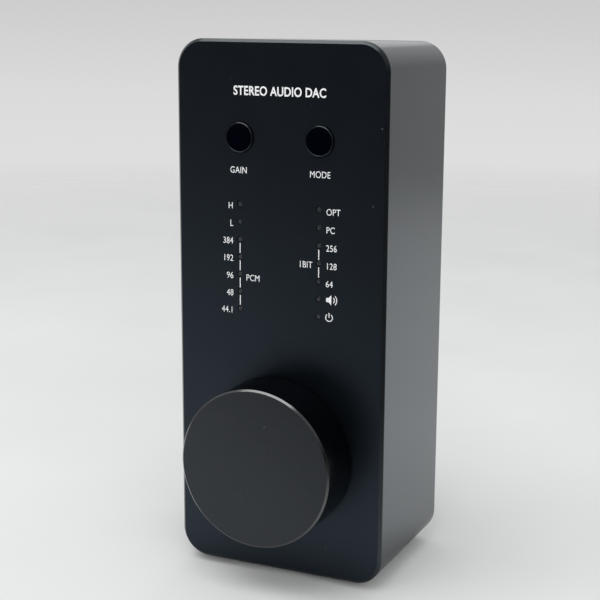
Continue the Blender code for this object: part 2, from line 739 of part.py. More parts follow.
def usb_port(name, height):
    """A USB-C receptacle standing on edge: a drawn steel shell round a central tongue."""
    shell = prism(rounded(USB_WIDTH, USB_LENGTH, USB_CORNER), USB_FRONT, USB_BACK)
    inside = rounded(USB_WIDTH - 2 * USB_WALL, USB_LENGTH - 2 * USB_WALL, USB_CORNER - USB_WALL)
    hollow = prism(inside, USB_FLOOR, USB_BACK + PAST)
    tongue = block((-TONGUE_HALF, TONGUE_HALF), (USB_FLOOR - OVERLAP, TONGUE_BACK),
                   (-TONGUE_HALF_LENGTH, TONGUE_HALF_LENGTH))
    piece(name, "steel", shell, (USB_X, 0.0, height), cuts=[[hollow]], inlays=[[tongue]])


def optical_socket():
    """A square optical socket with a sprung shutter hinged along the top of its mouth."""
    outline = rounded(OPTICAL_SIZE, OPTICAL_SIZE, OPTICAL_CORNER, 3)
    housing = prism(outline, OPTICAL_FRONT, OPTICAL_BACK)
    mouth = prism(rectangle((-MOUTH_HALF, MOUTH_LOW), (MOUTH_HALF, MOUTH_HIGH)), MOUTH_FRONT,
                  OPTICAL_BACK + PAST)
    piece("optical_socket", "black_plastic", housing, (OPTICAL_X, 0.0, OPTICAL_HEIGHT),
          cuts=[[mouth]])

    x_range = (-SHUTTER_HALF_WIDTH, SHUTTER_HALF_WIDTH)
    flap = block(x_range, (-SHUTTER_HALF, SHUTTER_HALF), (-SHUTTER_DROP, 0.0))
    barrel = rod(HINGE_RADIUS, *x_range, steps=BORE_STEPS, axis="X")
    piece("optical_shutter", "black_plastic", flap,
          (OPTICAL_X, HINGE_DEPTH, OPTICAL_HEIGHT + HINGE_HEIGHT), joins=[[barrel]])


def phono_socket(name, height, colour):
    """A phono socket: a plastic housing on the board, a plated shell and a coloured insulator."""
    at = (0.0, 0.0, height)
    housing = block((BASE_RIGHT, PHONO_HALF), (PHONO_FRONT, REAR_FRONT - GAP),
                    (-PHONO_HALF, PHONO_HALF))
    seat = rod(PHONO_RADIUS + GAP, PHONO_SEAT_FRONT, REAR_FRONT + PAST)
    piece(f"{name}_housing", "black_plastic", housing, at, cuts=[[seat]])

    shell = turned([
        (PHONO_RADIUS, PHONO_SHELL_FRONT), (PHONO_RADIUS, PHONO_TIP - PHONO_CHAMFER),
        (PHONO_RADIUS - PHONO_CHAMFER, PHONO_TIP), (PHONO_BORE, PHONO_TIP),
        (PHONO_BORE, PHONO_SHELL_FRONT),
    ], closed=True)
    piece(f"{name}_shell", "nickel", shell, at)

    insulator = rod(INSULATOR_RADIUS, INSULATOR_FRONT, INSULATOR_BACK)
    contact = rod(CONTACT_RADIUS, CONTACT_FRONT, INSULATOR_BACK + PAST, steps=SMALL_STEPS)
    piece(f"{name}_insulator", colour, insulator, at, cuts=[[contact]])


def headphone_jacks():
    housing_back = REAR_FRONT - GAP
    small = block((-SMALL_JACK_HALF, SMALL_JACK_HALF), (SMALL_JACK_FRONT, housing_back),
                  (-SMALL_JACK_HALF, SMALL_JACK_HALF))
    nose = rod(SMALL_NOSE, housing_back - OVERLAP, SMALL_NOSE_BACK)
    bore = rod(SMALL_BORE, SMALL_BORE_FRONT, SMALL_NOSE_BACK + PAST)
    piece("small_jack", "black_plastic", small, (SMALL_JACK_X, 0.0, SMALL_JACK_HEIGHT),
          joins=[[nose]], cuts=[[bore]])

    at = (0.0, 0.0, LARGE_JACK_HEIGHT)
    large = block((BASE_RIGHT, -BASE_RIGHT), (LARGE_JACK_FRONT, housing_back),
                  (-LARGE_JACK_HALF, LARGE_JACK_HALF))
    ferrule = rod(FERRULE, housing_back - OVERLAP, FERRULE_BACK)
    plug_bore = rod(LARGE_BORE, LARGE_BORE_FRONT, FERRULE_BACK + PAST)
    piece("large_jack", "black_plastic", large, at, joins=[[ferrule]], cuts=[[plug_bore]])

    nut = prism(circle(JACK_NUT_RADIUS, 6), JACK_NUT_FRONT, JACK_NUT_BACK)
    thread = rod(FERRULE + GAP, JACK_NUT_FRONT - PAST, JACK_NUT_BACK + PAST)
    piece("large_jack_nut", "nickel", nut, at, cuts=[[thread]])


def build():
    clear_scene()
    make_chassis()
    front_panel()
    casing()
    rear_panel()
    tie_screws()
    feet()
    volume_knob()
    knob_set_screw()
    encoder()
    push_button("gain", -BUTTON_X)
    push_button("mode", BUTTON_X)
    light_guide("light_guide_left", -LIGHT_X)
    light_guide("light_guide_right", LIGHT_X)
    display_board()
    board_screws()
    main_board()
    board_connector()
    chips()
    power_parts()
    for name, height in USB_HEIGHTS.items():
        usb_port(name, height)
    optical_socket()
    phono_socket("phono_right", PHONO_HEIGHTS["phono_right"], "red_plastic")
    phono_socket("phono_left", PHONO_HEIGHTS["phono_left"], "white_plastic")
    headphone_jacks()


build()
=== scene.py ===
"""Looks for the desktop DAC tower: fine outer pieces, procedural materials, floor, light, camera.

Lengths are in metres. MM turns the sizes that are stated here into metres; places come from the
boxes of the CAD nodes.
"""

import json
import math

import bmesh
import bpy
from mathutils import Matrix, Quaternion, Vector


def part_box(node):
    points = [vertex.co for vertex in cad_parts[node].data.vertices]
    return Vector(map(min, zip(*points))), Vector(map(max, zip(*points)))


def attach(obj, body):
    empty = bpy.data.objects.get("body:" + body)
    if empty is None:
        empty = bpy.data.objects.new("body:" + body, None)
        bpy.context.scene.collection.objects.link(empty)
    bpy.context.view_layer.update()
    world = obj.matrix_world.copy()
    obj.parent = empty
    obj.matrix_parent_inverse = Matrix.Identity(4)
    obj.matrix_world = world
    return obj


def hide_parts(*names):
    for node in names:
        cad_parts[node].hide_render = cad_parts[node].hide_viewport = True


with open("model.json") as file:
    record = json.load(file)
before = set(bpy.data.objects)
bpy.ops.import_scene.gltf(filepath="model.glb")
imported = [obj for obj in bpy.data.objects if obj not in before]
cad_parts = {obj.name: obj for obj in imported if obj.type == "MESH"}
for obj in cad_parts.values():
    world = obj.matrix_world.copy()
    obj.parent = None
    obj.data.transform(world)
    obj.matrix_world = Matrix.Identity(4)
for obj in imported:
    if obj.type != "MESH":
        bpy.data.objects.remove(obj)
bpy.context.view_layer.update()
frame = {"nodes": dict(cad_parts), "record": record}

MM = 0.001

# Steps round a full circle, from the knob down to the stubs of the light guides
KNOB_STEPS = 192
ROUND_STEPS = 96
HOLE_STEPS = 64
SHAFT_STEPS = 48
PEG_STEPS = 32
STUB_STEPS = 24

# Steps round one corner of a rounded rectangle
CORNER_STEPS = 24
PORT_STEPS = 16
SLOT_STEPS = 12
SOCKET_STEPS = 8
MOUTH_STEPS = 6
FLAP_STEPS = 4

# Outline of the body, seen from the front
CORNER_RADIUS = 5.7 * MM
STEP_INSET = 2.3 * MM
LIP_SOFTNESS = 0.12 * MM

# Mesh habits
AXIS_GAP = 0.02 * MM
PAST = 1 * MM
SHARP_ANGLE = math.radians(30)
STRAIGHT_ANGLE = math.radians(178)
SOFTEN_REACH = 0.45
SLOPE_RANGE = (0.2, 0.97)


def node_box(node):
    low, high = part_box(node)
    return low, high, (low + high) / 2


panel_low, panel_high, panel_mid = node_box("front_panel")
knob_low, knob_high, knob_mid = node_box("volume_knob")
casing_low, casing_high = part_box("casing")
rear_low, rear_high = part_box("rear_panel")


# Outlines and profiles

def circle(radius, steps=ROUND_STEPS, centre=(0.0, 0.0)):
    angles = [2 * math.pi * i / steps for i in range(steps)]
    return [(centre[0] + radius * math.cos(a), centre[1] + radius * math.sin(a)) for a in angles]


def rounded(low, high, radius, inset=0.0, steps=CORNER_STEPS):
    """A rectangle with round corners between two opposite corners, moved in by an inset."""
    radius = radius - inset
    points = []
    corners = ((high[0], high[1]), (low[0], high[1]), (low[0], low[1]), (high[0], low[1]))
    signs = ((1, 1), (-1, 1), (-1, -1), (1, -1))
    for quarter, (corner, sign) in enumerate(zip(corners, signs)):
        x = corner[0] - sign[0] * (inset + radius)
        z = corner[1] - sign[1] * (inset + radius)
        for i in range(steps + 1):
            angle = (quarter + i / steps) * math.pi / 2
            points.append((x + radius * math.cos(angle), z + radius * math.sin(angle)))
    return points


def soften(points, radius, steps=4, closed=False):
    """Round each corner of a profile with a curve that touches both of its sides."""
    result = []
    count = len(points)
    for i, point in enumerate(points):
        if not closed and i in (0, count - 1):
            result.append(point)
            continue
        here = Vector(point)
        before = Vector(points[i - 1]) - here
        after = Vector(points[(i + 1) % count]) - here
        angle = before.angle(after)
        if angle > STRAIGHT_ANGLE:
            result.append(point)
            continue
        reach = min(radius / math.tan(angle / 2), before.length * SOFTEN_REACH,
                    after.length * SOFTEN_REACH)
        start = here + before.normalized() * reach
        end = here + after.normalized() * reach
        for step in range(steps + 1):
            t = step / steps
            result.append(tuple((1 - t) ** 2 * start + 2 * t * (1 - t) * here + t * t * end))
    return result


def from_axis(profile):
    """A profile to turn, with its first point beside the axis, so that its end is a closed disc."""
    return [(AXIS_GAP, profile[0][1])] + profile[1:]


# Meshes

def loft(rings, axis="Y", closed=False):
    """Points and faces of a skin over outlines, each at its own distance along the axis."""
    order = {"X": (2, 0, 1), "Y": (0, 2, 1), "Z": (0, 1, 2)}[axis]
    points = []
    for outline, distance in rings:
        for u, v in outline:
            points.append(tuple((u, v, distance)[i] for i in order))
    count = len(rings[0][0])
    faces = []
    for ring in range(len(rings) if closed else len(rings) - 1):
        here = ring * count
        there = (ring + 1) % len(rings) * count
        for i in range(count):
            j = (i + 1) % count
            faces.append((here + i, here + j, there + j, there + i))
    if not closed:
        faces.append(tuple(range(count)))
        faces.append(tuple(range(len(points) - count, len(points))))
    return points, faces


def turned(profile, centre, steps=ROUND_STEPS, axis="Y", closed=False):
    return loft([(circle(radius, steps, centre), d) for radius, d in profile], axis, closed)


def prism(outline, start, end, axis="Y"):
    return loft([(outline, start), (outline, end)], axis)


def block(low, high):
    outline = [(low[0], low[2]), (high[0], low[2]), (high[0], high[2]), (low[0], high[2])]
    return prism(outline, low[1], high[1])


def smooth(mesh):
    mesh.shade_smooth()
    mesh.set_sharp_from_angle(angle=SHARP_ANGLE)


def make_mesh(name, shapes):
    work = bmesh.new()
    for points, faces in shapes:
        corners = [work.verts.new(point) for point in points]
        for face in faces:
            work.faces.new([corners[i] for i in face])
    bmesh.ops.recalc_face_normals(work, faces=work.faces[:])
    mesh = bpy.data.meshes.new(name)
    work.to_mesh(mesh)
    work.free()
    smooth(mesh)
    item = bpy.data.objects.new(name, mesh)
    bpy.context.scene.collection.objects.link(item)
    return item


def carve(item, operation, shapes):
    """Apply a Boolean between a piece and some closed shapes."""
    tool = make_mesh("tool", shapes)
    modifier = item.modifiers.new("carve", "BOOLEAN")
    modifier.operation = operation
    modifier.solver = "EXACT"
    modifier.object = tool
    bpy.context.view_layer.update()
    depsgraph = bpy.context.evaluated_depsgraph_get()
    mesh = bpy.data.meshes.new_from_object(item.evaluated_get(depsgraph))
    item.modifiers.clear()
    old = item.data
    item.data = mesh
    mesh.name = item.name
    bpy.data.meshes.remove(old)
    spare = tool.data
    bpy.data.objects.remove(tool)
    bpy.data.meshes.remove(spare)
    smooth(mesh)


def finish_piece(item, material, body="chassis", nodes=()):
    """Shade the flat faces flat, and give a piece its material and the body it rides."""
    even = item.modifiers.new("even", "WEIGHTED_NORMAL")
    even.keep_sharp = True
    item.data.materials.clear()
    item.data.materials.append(material)
    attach(item, body)
    if nodes:
        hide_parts(*nodes)


def slopes_forward(centre, normal):
    """A test for paint_faces: the face leans between front and side, as on a chamfer."""
    return SLOPE_RANGE[0] < -normal.y < SLOPE_RANGE[1]


def paint_faces(item, material, test):
    """Give a second material to the faces that pass a test of their centre and normal."""
    item.data.materials.append(material)
    index = len(item.data.materials) - 1
    for face in item.data.polygons:
        if test(face.center, face.normal):
            face.material_index = index


# Materials

class Tree:
    """The node tree of a material or a world, with short calls to add and join nodes."""

    def __init__(self, owner):
        owner.use_nodes = True
        self.tree = owner.node_tree

    def add(self, kind, inputs=None, **settings):
        """Add a node with its own settings, and with numbers in some of its inputs."""
        node = self.tree.nodes.new(kind)
        for key, value in settings.items():
            setattr(node, key, value)
        for socket, value in (inputs or {}).items():
            node.inputs[socket].default_value = value
        return node

    def join(self, source, target):
        self.tree.links.new(source, target)


class Nodes(Tree):
    """A material's nodes: noises in the object's own space, and the inputs that they drive."""

    def __init__(self, name):
        self.material = bpy.data.materials.new(name)
        super().__init__(self.material)
        self.inputs = self.tree.nodes["Principled BSDF"].inputs
        self.place = self.add("ShaderNodeTexCoord").outputs["Object"]

    def noise(self, scale, detail=2.0, roughness=0.5, stretch=None):
        node = self.add("ShaderNodeTexNoise",
                        {"Scale": scale, "Detail": detail, "Roughness": roughness})
        source = self.place
        if stretch:
            mapping = self.add("ShaderNodeMapping", {"Scale": stretch})
            self.join(self.place, mapping.inputs["Vector"])
            source = mapping.outputs["Vector"]
        self.join(source, node.inputs["Vector"])
        return node.outputs["Fac"]

    def spread(self, value, low, high, from_low=0.3, from_high=0.7):
        """Map the middle of a noise's range onto low to high."""
        node = self.add("ShaderNodeMapRange", {
            "From Min": from_low, "From Max": from_high, "To Min": low, "To Max": high})
        self.join(value, node.inputs["Value"])
        return node.outputs["Result"]

    def blend(self, factor, first, second):
        node = self.add("ShaderNodeMix", data_type="RGBA")
        self.join(factor, node.inputs["Factor"])
        for value, socket in ((first, node.inputs["A"]), (second, node.inputs["B"])):
            if isinstance(value, tuple):
                socket.default_value = (*value, 1.0)
            else:
                self.join(value, socket)
        return node.outputs["Result"]

    def vary(self, noise, colour, dark, light):
        """A colour that drifts with a noise between a darker and a lighter shade of itself."""
        return self.blend(self.spread(noise, 0.0, 1.0), shade(colour, dark), shade(colour, light))

    def set_colour(self, tint):
        self.join(tint, self.inputs["Base Color"])

    def set_roughness(self, noise, low, high):
        self.join(self.spread(noise, low, high), self.inputs["Roughness"])

    def set_bump(self, height, strength, distance):
        node = self.add("ShaderNodeBump", {"Strength": strength, "Distance": distance})
        self.join(height, node.inputs["Height"])
        self.join(node.outputs["Normal"], self.inputs["Normal"])


DUST = (0.25, 0.26, 0.27)
DUST_CUT = (0.78, 0.82)


def shade(colour, amount):
    return tuple(value * amount for value in colour)


def blasted(name, colour, roughness, grain=0.09 * MM, depth=0.0012 * MM, gloss=0.5,
            gloss_tint=(1.0, 1.0, 1.0), dust=0.0, refraction=1.5):
    """Anodised metal or moulded plastic with a fine pitted grain, faint blotches and some dust."""
    nodes = Nodes(name)
    fine = nodes.noise(0.6 / grain, detail=3.0, roughness=0.6)
    tint = nodes.vary(nodes.noise(70.0, detail=3.0), colour, 0.86, 1.14)
    tint = nodes.blend(nodes.spread(fine, 0.0, 0.3), tint, shade(colour, 1.4))
    if dust:
        specks = nodes.noise(1100.0, detail=1.0)
        tint = nodes.blend(nodes.spread(specks, 0.0, dust, *DUST_CUT), tint, DUST)
    nodes.set_colour(tint)
    nodes.set_roughness(nodes.noise(160.0, detail=4.0), roughness - 0.02, roughness + 0.02)
    nodes.inputs["Specular IOR Level"].default_value = gloss
    nodes.inputs["IOR"].default_value = refraction
    nodes.inputs["Specular Tint"].default_value = (*gloss_tint, 1.0)
    nodes.set_bump(fine, 0.5, depth)
    return nodes.material


def polished(name, colour, roughness=0.12, specular=0.5):
    """Gloss plastic: a very faint flow texture and light handling marks in the gloss."""
    nodes = Nodes(name)
    smear = nodes.noise(900.0, detail=4.0, roughness=0.65)
    nodes.set_roughness(smear, roughness - 0.03, roughness + 0.06)
    nodes.set_colour(nodes.vary(nodes.noise(120.0), colour, 0.9, 1.1))
    nodes.inputs["Specular IOR Level"].default_value = specular
    nodes.set_bump(nodes.noise(400.0), 0.12, 0.003 * MM)
    return nodes.material


def worked_metal(name, colour, roughness=0.28, lines=(1.0, 60.0, 1.0), depth=0.0012 * MM):
    """Bare or plated metal with fine tool lines and a slightly uneven polish."""
    nodes = Nodes(name)
    scratch = nodes.noise(260.0, detail=4.0, roughness=0.6, stretch=lines)
    nodes.set_colour(nodes.vary(nodes.noise(220.0, detail=3.0), colour, 0.88, 1.06))
    nodes.set_roughness(scratch, roughness - 0.06, roughness + 0.08)
    nodes.inputs["Metallic"].default_value = 1.0
    nodes.set_bump(scratch, 0.4, depth)
    return nodes.material


def rubber(name, colour):
    """Matt rubber with a coarse, even grain."""
    nodes = Nodes(name)
    fine = nodes.noise(4200.0, detail=4.0, roughness=0.7)
    nodes.set_colour(nodes.vary(nodes.noise(300.0, detail=3.0), colour, 0.8, 1.3))
    nodes.set_roughness(fine, 0.72, 0.9)
    nodes.set_bump(fine, 0.6, 0.01 * MM)
    return nodes.material


def frosted(name, colour):
    """Frosted acrylic with no lamp lit behind it."""
    nodes = Nodes(name)
    cloud = nodes.noise(1500.0, detail=3.0)
    nodes.set_colour(nodes.vary(cloud, colour, 0.8, 1.25))
    nodes.set_roughness(cloud, 0.3, 0.42)
    nodes.inputs["Transmission Weight"].default_value = 0.25
    nodes.set_bump(cloud, 0.3, 0.004 * MM)
    return nodes.material


def printed(name, colour):
    """Screen-printed ink: slightly uneven cover and a rough surface."""
    nodes = Nodes(name)
    cover = nodes.noise(2600.0, detail=3.0)
    nodes.set_colour(nodes.vary(cover, colour, 0.86, 1.0))
    nodes.set_roughness(cover, 0.5, 0.62)
    nodes.set_bump(cover, 0.3, 0.003 * MM)
    return nodes.material


def circuit_board(name):
    """Green solder resist with the faint lighter tracks that run under it."""
    nodes = Nodes(name)
    tracks = nodes.add("ShaderNodeTexBrick", {"Scale": 220.0, "Mortar Size": 0.06})
    nodes.join(nodes.place, tracks.inputs["Vector"])
    weave = nodes.noise(1800.0)
    base = nodes.blend(nodes.spread(weave, 0.0, 1.0), (0.006, 0.06, 0.028), (0.01, 0.085, 0.04))
    nodes.set_colour(nodes.blend(tracks.outputs["Fac"], base, (0.02, 0.15, 0.06)))
    nodes.set_roughness(weave, 0.3, 0.42)
    nodes.set_bump(weave, 0.3, 0.006 * MM)
    return nodes.material


PANEL_TINT = (0.6, 0.78, 1.0)
CASING_TINT = (0.84, 0.93, 1.0)
KNOB_TINT = (0.8, 0.88, 1.0)
NO_LINES = (1.0, 1.0, 1.0)

panel_black = blasted("panel_black", (0.0005, 0.0008, 0.0016), 0.41, gloss=0.68,
                      gloss_tint=PANEL_TINT, dust=0.3)
edge_black = blasted("edge_black", (0.002, 0.003, 0.004), 0.24, grain=0.05 * MM,
                     depth=0.0005 * MM, gloss=0.75, gloss_tint=CASING_TINT)
casing_black = blasted("casing_black", (0.006, 0.007, 0.008), 0.14, grain=0.11 * MM,
                       depth=0.0005 * MM, gloss=1.0, gloss_tint=CASING_TINT, dust=0.2,
                       refraction=1.7)
rear_black = blasted("rear_black", (0.004, 0.005, 0.006), 0.4, grain=0.1 * MM)
knob_black = blasted("knob_black", (0.003, 0.0034, 0.004), 0.27, grain=0.07 * MM, gloss=0.6,
                     gloss_tint=KNOB_TINT, dust=0.3)
# A darker, duller black: the knob's own turned side, and painted shade on the front panel's
# down-facing lower chamfer
turned_black_and_chamfer_shade = blasted("turned_black_and_chamfer_shade", (0.001, 0.0012, 0.0018), 0.2, grain=0.05 * MM, gloss=0.25,
                       gloss_tint=KNOB_TINT)
moulded_black = blasted("moulded_black", (0.01, 0.01, 0.011), 0.46, grain=0.12 * MM,
                        depth=0.004 * MM)
rim_bright = worked_metal("rim_bright", (0.14, 0.142, 0.145), 0.2, NO_LINES, 0.0006 * MM)
black_steel = worked_metal("black_steel", (0.035, 0.036, 0.04), 0.34)
bright_steel = worked_metal("bright_steel", (0.52, 0.52, 0.53), 0.3)
nickel = worked_metal("nickel", (0.66, 0.63, 0.58), 0.2, lines=(1.0, 14.0, 1.0))
gold = worked_metal("gold", (0.78, 0.56, 0.25), 0.22)
can_metal = worked_metal("can_metal", (0.66, 0.67, 0.69), 0.36, lines=(40.0, 1.0, 1.0))
gloss_black = polished("gloss_black", (0.0003, 0.0006, 0.0026), 0.12, specular=0.12)
red_plastic = polished("red_plastic", (0.42, 0.012, 0.01), 0.26)
white_plastic = polished("white_plastic", (0.68, 0.68, 0.65), 0.28)
soft_rubber = rubber("soft_rubber", (0.012, 0.012, 0.013))
guide_clear = frosted("guide_clear", (0.026, 0.03, 0.036))
white_ink = printed("white_ink", (0.72, 0.73, 0.74))
board_green = circuit_board("board_green")


# Front of the body. Depths are from the panel's face.

PANEL_CHAMFER = 0.6 * MM
EDGE_SOFTNESS = 0.06 * MM
FACE_INSET = 4 * MM
FLANGE = 0.66 * MM
SEAM = 0.12 * MM
STEP_DEPTH = 2.9 * MM
# Chamfer faces that lean down further than this take the darker black as painted shade
PAINTED_SHADE_FACING = -0.5
SHAFT_HOLE = 3.8 * MM

CAP_GAP = 0.15 * MM
CAP_EDGE = 0.12 * MM
CAP_DISH = 0.1 * MM
CAP_SOFTNESS = 0.03 * MM
CAP_FLANGE = 0.85 * MM
RIM_TOP = 1.3 * CAP_EDGE
RIM_FOOT = 2.0 * CAP_EDGE
STEM_RADIUS = 1.5 * MM
STOP_DEPTH = 3.2 * MM
CAP_FLANGE_BACK = 4.0 * MM

LIGHT_MARGIN = 1.6 * MM
LIGHT_PEG = 0.5 * MM
LIGHT_HOLE = 0.6 * MM
LIGHT_STUB = 0.9 * MM
LIGHT_BAR = 1.4 * MM
LIGHTS = 7


def light_heights():
    """Heights of the lights, spread evenly along the light guide between its two end pegs."""
    low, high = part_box("light_guide_left")
    pitch = (high.z - low.z - 2 * LIGHT_MARGIN) / (LIGHTS - 1)
    return [high.z - LIGHT_MARGIN - pitch * i for i in range(LIGHTS)]


def light_places():
    return {name: node_box(name)[2].x for name in ("light_guide_left", "light_guide_right")}


def button_places():
    return {name: node_box(name)[2] for name in ("gain_button", "mode_button")}


def cap_radius():
    low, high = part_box("gain_button")
    return (high.x - low.x) / 2 - CAP_FLANGE


def body_outline(inset):
    return rounded((panel_low.x, panel_low.z), (panel_high.x, panel_high.z), CORNER_RADIUS, inset)


def front_panel():
    """A thin flange with a chamfered edge, the step behind it that enters the casing, and holes."""
    face = panel_low.y
    profile = soften([
        (FACE_INSET, face), (PANEL_CHAMFER, face), (0.0, face + PANEL_CHAMFER),
        (0.0, face + FLANGE), (FACE_INSET, face + FLANGE),
    ], EDGE_SOFTNESS)[1:-1]
    item = make_mesh("fine_front_panel", [loft([(body_outline(i), d) for i, d in profile])])
    step_back = face + STEP_DEPTH
    carve(item, "UNION", [prism(body_outline(STEP_INSET), face + FLANGE / 2, step_back)])
    holes = [circle(cap_radius() + CAP_GAP, ROUND_STEPS, (place.x, place.z))
             for place in button_places().values()]
    holes += [circle(LIGHT_HOLE, PEG_STEPS, (x, z))
              for x in light_places().values() for z in light_heights()]
    holes.append(circle(SHAFT_HOLE, SHAFT_STEPS, (knob_mid.x, knob_mid.z)))
    carve(item, "DIFFERENCE", [prism(hole, face - PAST, step_back + PAST) for hole in holes])
    finish_piece(item, panel_black, nodes=["front_panel"])

    def on_chamfer(centre, normal):
        return slopes_forward(centre, normal) and centre.y < face + PANEL_CHAMFER

    # Painted shade: the down-facing part of the chamfer takes the darker, duller black, for the
    # shade of the gap beneath the panel
    def on_painted_shade_chamfer(centre, normal):
        return on_chamfer(centre, normal) and normal.z < PAINTED_SHADE_FACING

    paint_faces(item, edge_black, on_chamfer)
    paint_faces(item, turned_black_and_chamfer_shade, on_painted_shade_chamfer)


def push_buttons():
    """Low caps, each with a fine rim round a dished face and a flange behind the panel."""
    for name, place in button_places().items():
        low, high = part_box(name)
        radius = cap_radius()
        flange = (high.x - low.x) / 2
        front = low.y
        floor = front + CAP_DISH
        flange_front = panel_low.y + STOP_DEPTH
        flange_back = panel_low.y + CAP_FLANGE_BACK
        profile = soften([
            (0.0, floor), (radius - RIM_FOOT, floor), (radius - RIM_TOP, front),
            (radius - CAP_EDGE, front), (radius, front + CAP_EDGE),
            (radius, flange_front), (flange, flange_front), (flange, flange_back),
            (STEM_RADIUS, flange_back), (STEM_RADIUS, high.y),
        ], CAP_SOFTNESS)
        item = make_mesh(f"fine_{name}", [turned(from_axis(profile), (place.x, place.z))])
        body = name.replace("_button", "_key")
        finish_piece(item, gloss_black, body, [name])

        def on_outer_slope(centre, normal):
            outward = (centre.x - place.x) * normal.x + (centre.z - place.z) * normal.z
            return slopes_forward(centre, normal) and outward > 0

        paint_faces(item, panel_black, slopes_forward)
        paint_faces(item, edge_black, on_outer_slope)


def light_guides():
    """Clear bars behind the panel, with a peg in each light hole and a stub behind each peg."""
    for name, x in light_places().items():
        low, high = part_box(name)
        bar_front = panel_low.y + STOP_DEPTH
        bar_back = bar_front + LIGHT_BAR
        shapes = [block((low.x, bar_front, low.z), (high.x, bar_back, high.z))]
        for z in light_heights():
            peg = soften([(0.0, low.y), (LIGHT_PEG, low.y), (LIGHT_PEG, bar_front)], LIP_SOFTNESS)
            shapes.append(turned(from_axis(peg), (x, z), PEG_STEPS))
            shapes.append(prism(circle(LIGHT_STUB, STUB_STEPS, (x, z)), bar_back, high.y))
        item = make_mesh(f"fine_{name}", shapes)
        finish_piece(item, guide_clear, "chassis", [name])


# Printed marks

INK = 0.012 * MM
CAPITAL_SHARE = 0.72
LETTER_WIDTH = 0.84
LETTER_SPACE = 1.04
LETTER_STEPS = 6
LABEL_HEIGHT = 1.3 * MM
TITLE_HEIGHT = 1.75 * MM
TITLE_BOLD = 0.05 * MM
TITLE_UP = 97.3 * MM
BUTTON_LABEL_UP = 81.9 * MM
GAIN_SHIFT = -0.25 * MM
MODE_SHIFT = 0.15 * MM
LABEL_DROP = 0.35 * MM
OUTER_LABEL = 1.5 * MM
INNER_LABEL = 1.3 * MM
PCM_RISE = 1.2 * MM
LINE_HALF = 0.09 * MM
LINE_GAP = 0.75 * MM
SPEAKER_REACH = 1.65 * MM
POWER_REACH = 2.3 * MM


def text_shape(text, height, align, at, bold=0.0):
    """The outline of a line of text as mesh data, raised a little from the XZ plane."""
    curve = bpy.data.curves.new("mark", "FONT")
    curve.body = text
    curve.align_x = align
    curve.size = height / CAPITAL_SHARE
    curve.extrude = INK / 2
    curve.offset = bold
    curve.resolution_u = LETTER_STEPS
    curve.space_character = LETTER_SPACE
    item = bpy.data.objects.new("mark", curve)
    bpy.context.scene.collection.objects.link(item)
    bpy.context.view_layer.update()
    depsgraph = bpy.context.evaluated_depsgraph_get()
    mesh = bpy.data.meshes.new_from_object(item.evaluated_get(depsgraph))
    points = [(at[0] + v.co.x * LETTER_WIDTH, at[1] - v.co.z, at[2] + v.co.y)
              for v in mesh.vertices]
    faces = [tuple(p.vertices) for p in mesh.polygons]
    bpy.data.objects.remove(item)
    bpy.data.curves.remove(curve)
    bpy.data.meshes.remove(mesh)
    return points, faces


def arc_band(centre, radius, start, end, steps=16):
    """A thin band along an arc between two angles in degrees."""
    angles = [math.radians(start + (end - start) * i / steps) for i in range(steps + 1)]
    outer = [(centre[0] + (radius + LINE_HALF) * math.cos(a),
              centre[1] + (radius + LINE_HALF) * math.sin(a)) for a in angles]
    inner = [(centre[0] + (radius - LINE_HALF) * math.cos(a),
              centre[1] + (radius - LINE_HALF) * math.sin(a)) for a in reversed(angles)]
    return outer + inner


def speaker_symbol(x, z):
    """A plain loudspeaker: a magnet, a horn and two waves."""
    horn = [(0.0, -0.4), (0.5, -0.4), (1.1, -1.0), (1.1, 1.0), (0.5, 0.4), (0.0, 0.4)]
    outline = [(x + u * MM, z + w * MM) for u, w in horn]
    mouth = (x + 1.0 * MM, z)
    return [outline] + [arc_band(mouth, radius * MM, -45, 45) for radius in (0.75, 1.25)]


def power_symbol(x, z):
    """A plain power sign: an open ring with an upright line in its gap."""
    radius, bar_top = 0.72 * MM, z + 0.95 * MM
    bar = [(x - LINE_HALF, z), (x + LINE_HALF, z), (x + LINE_HALF, bar_top),
           (x - LINE_HALF, bar_top)]
    return [arc_band((x, z), radius, -235, 55, 32), bar]


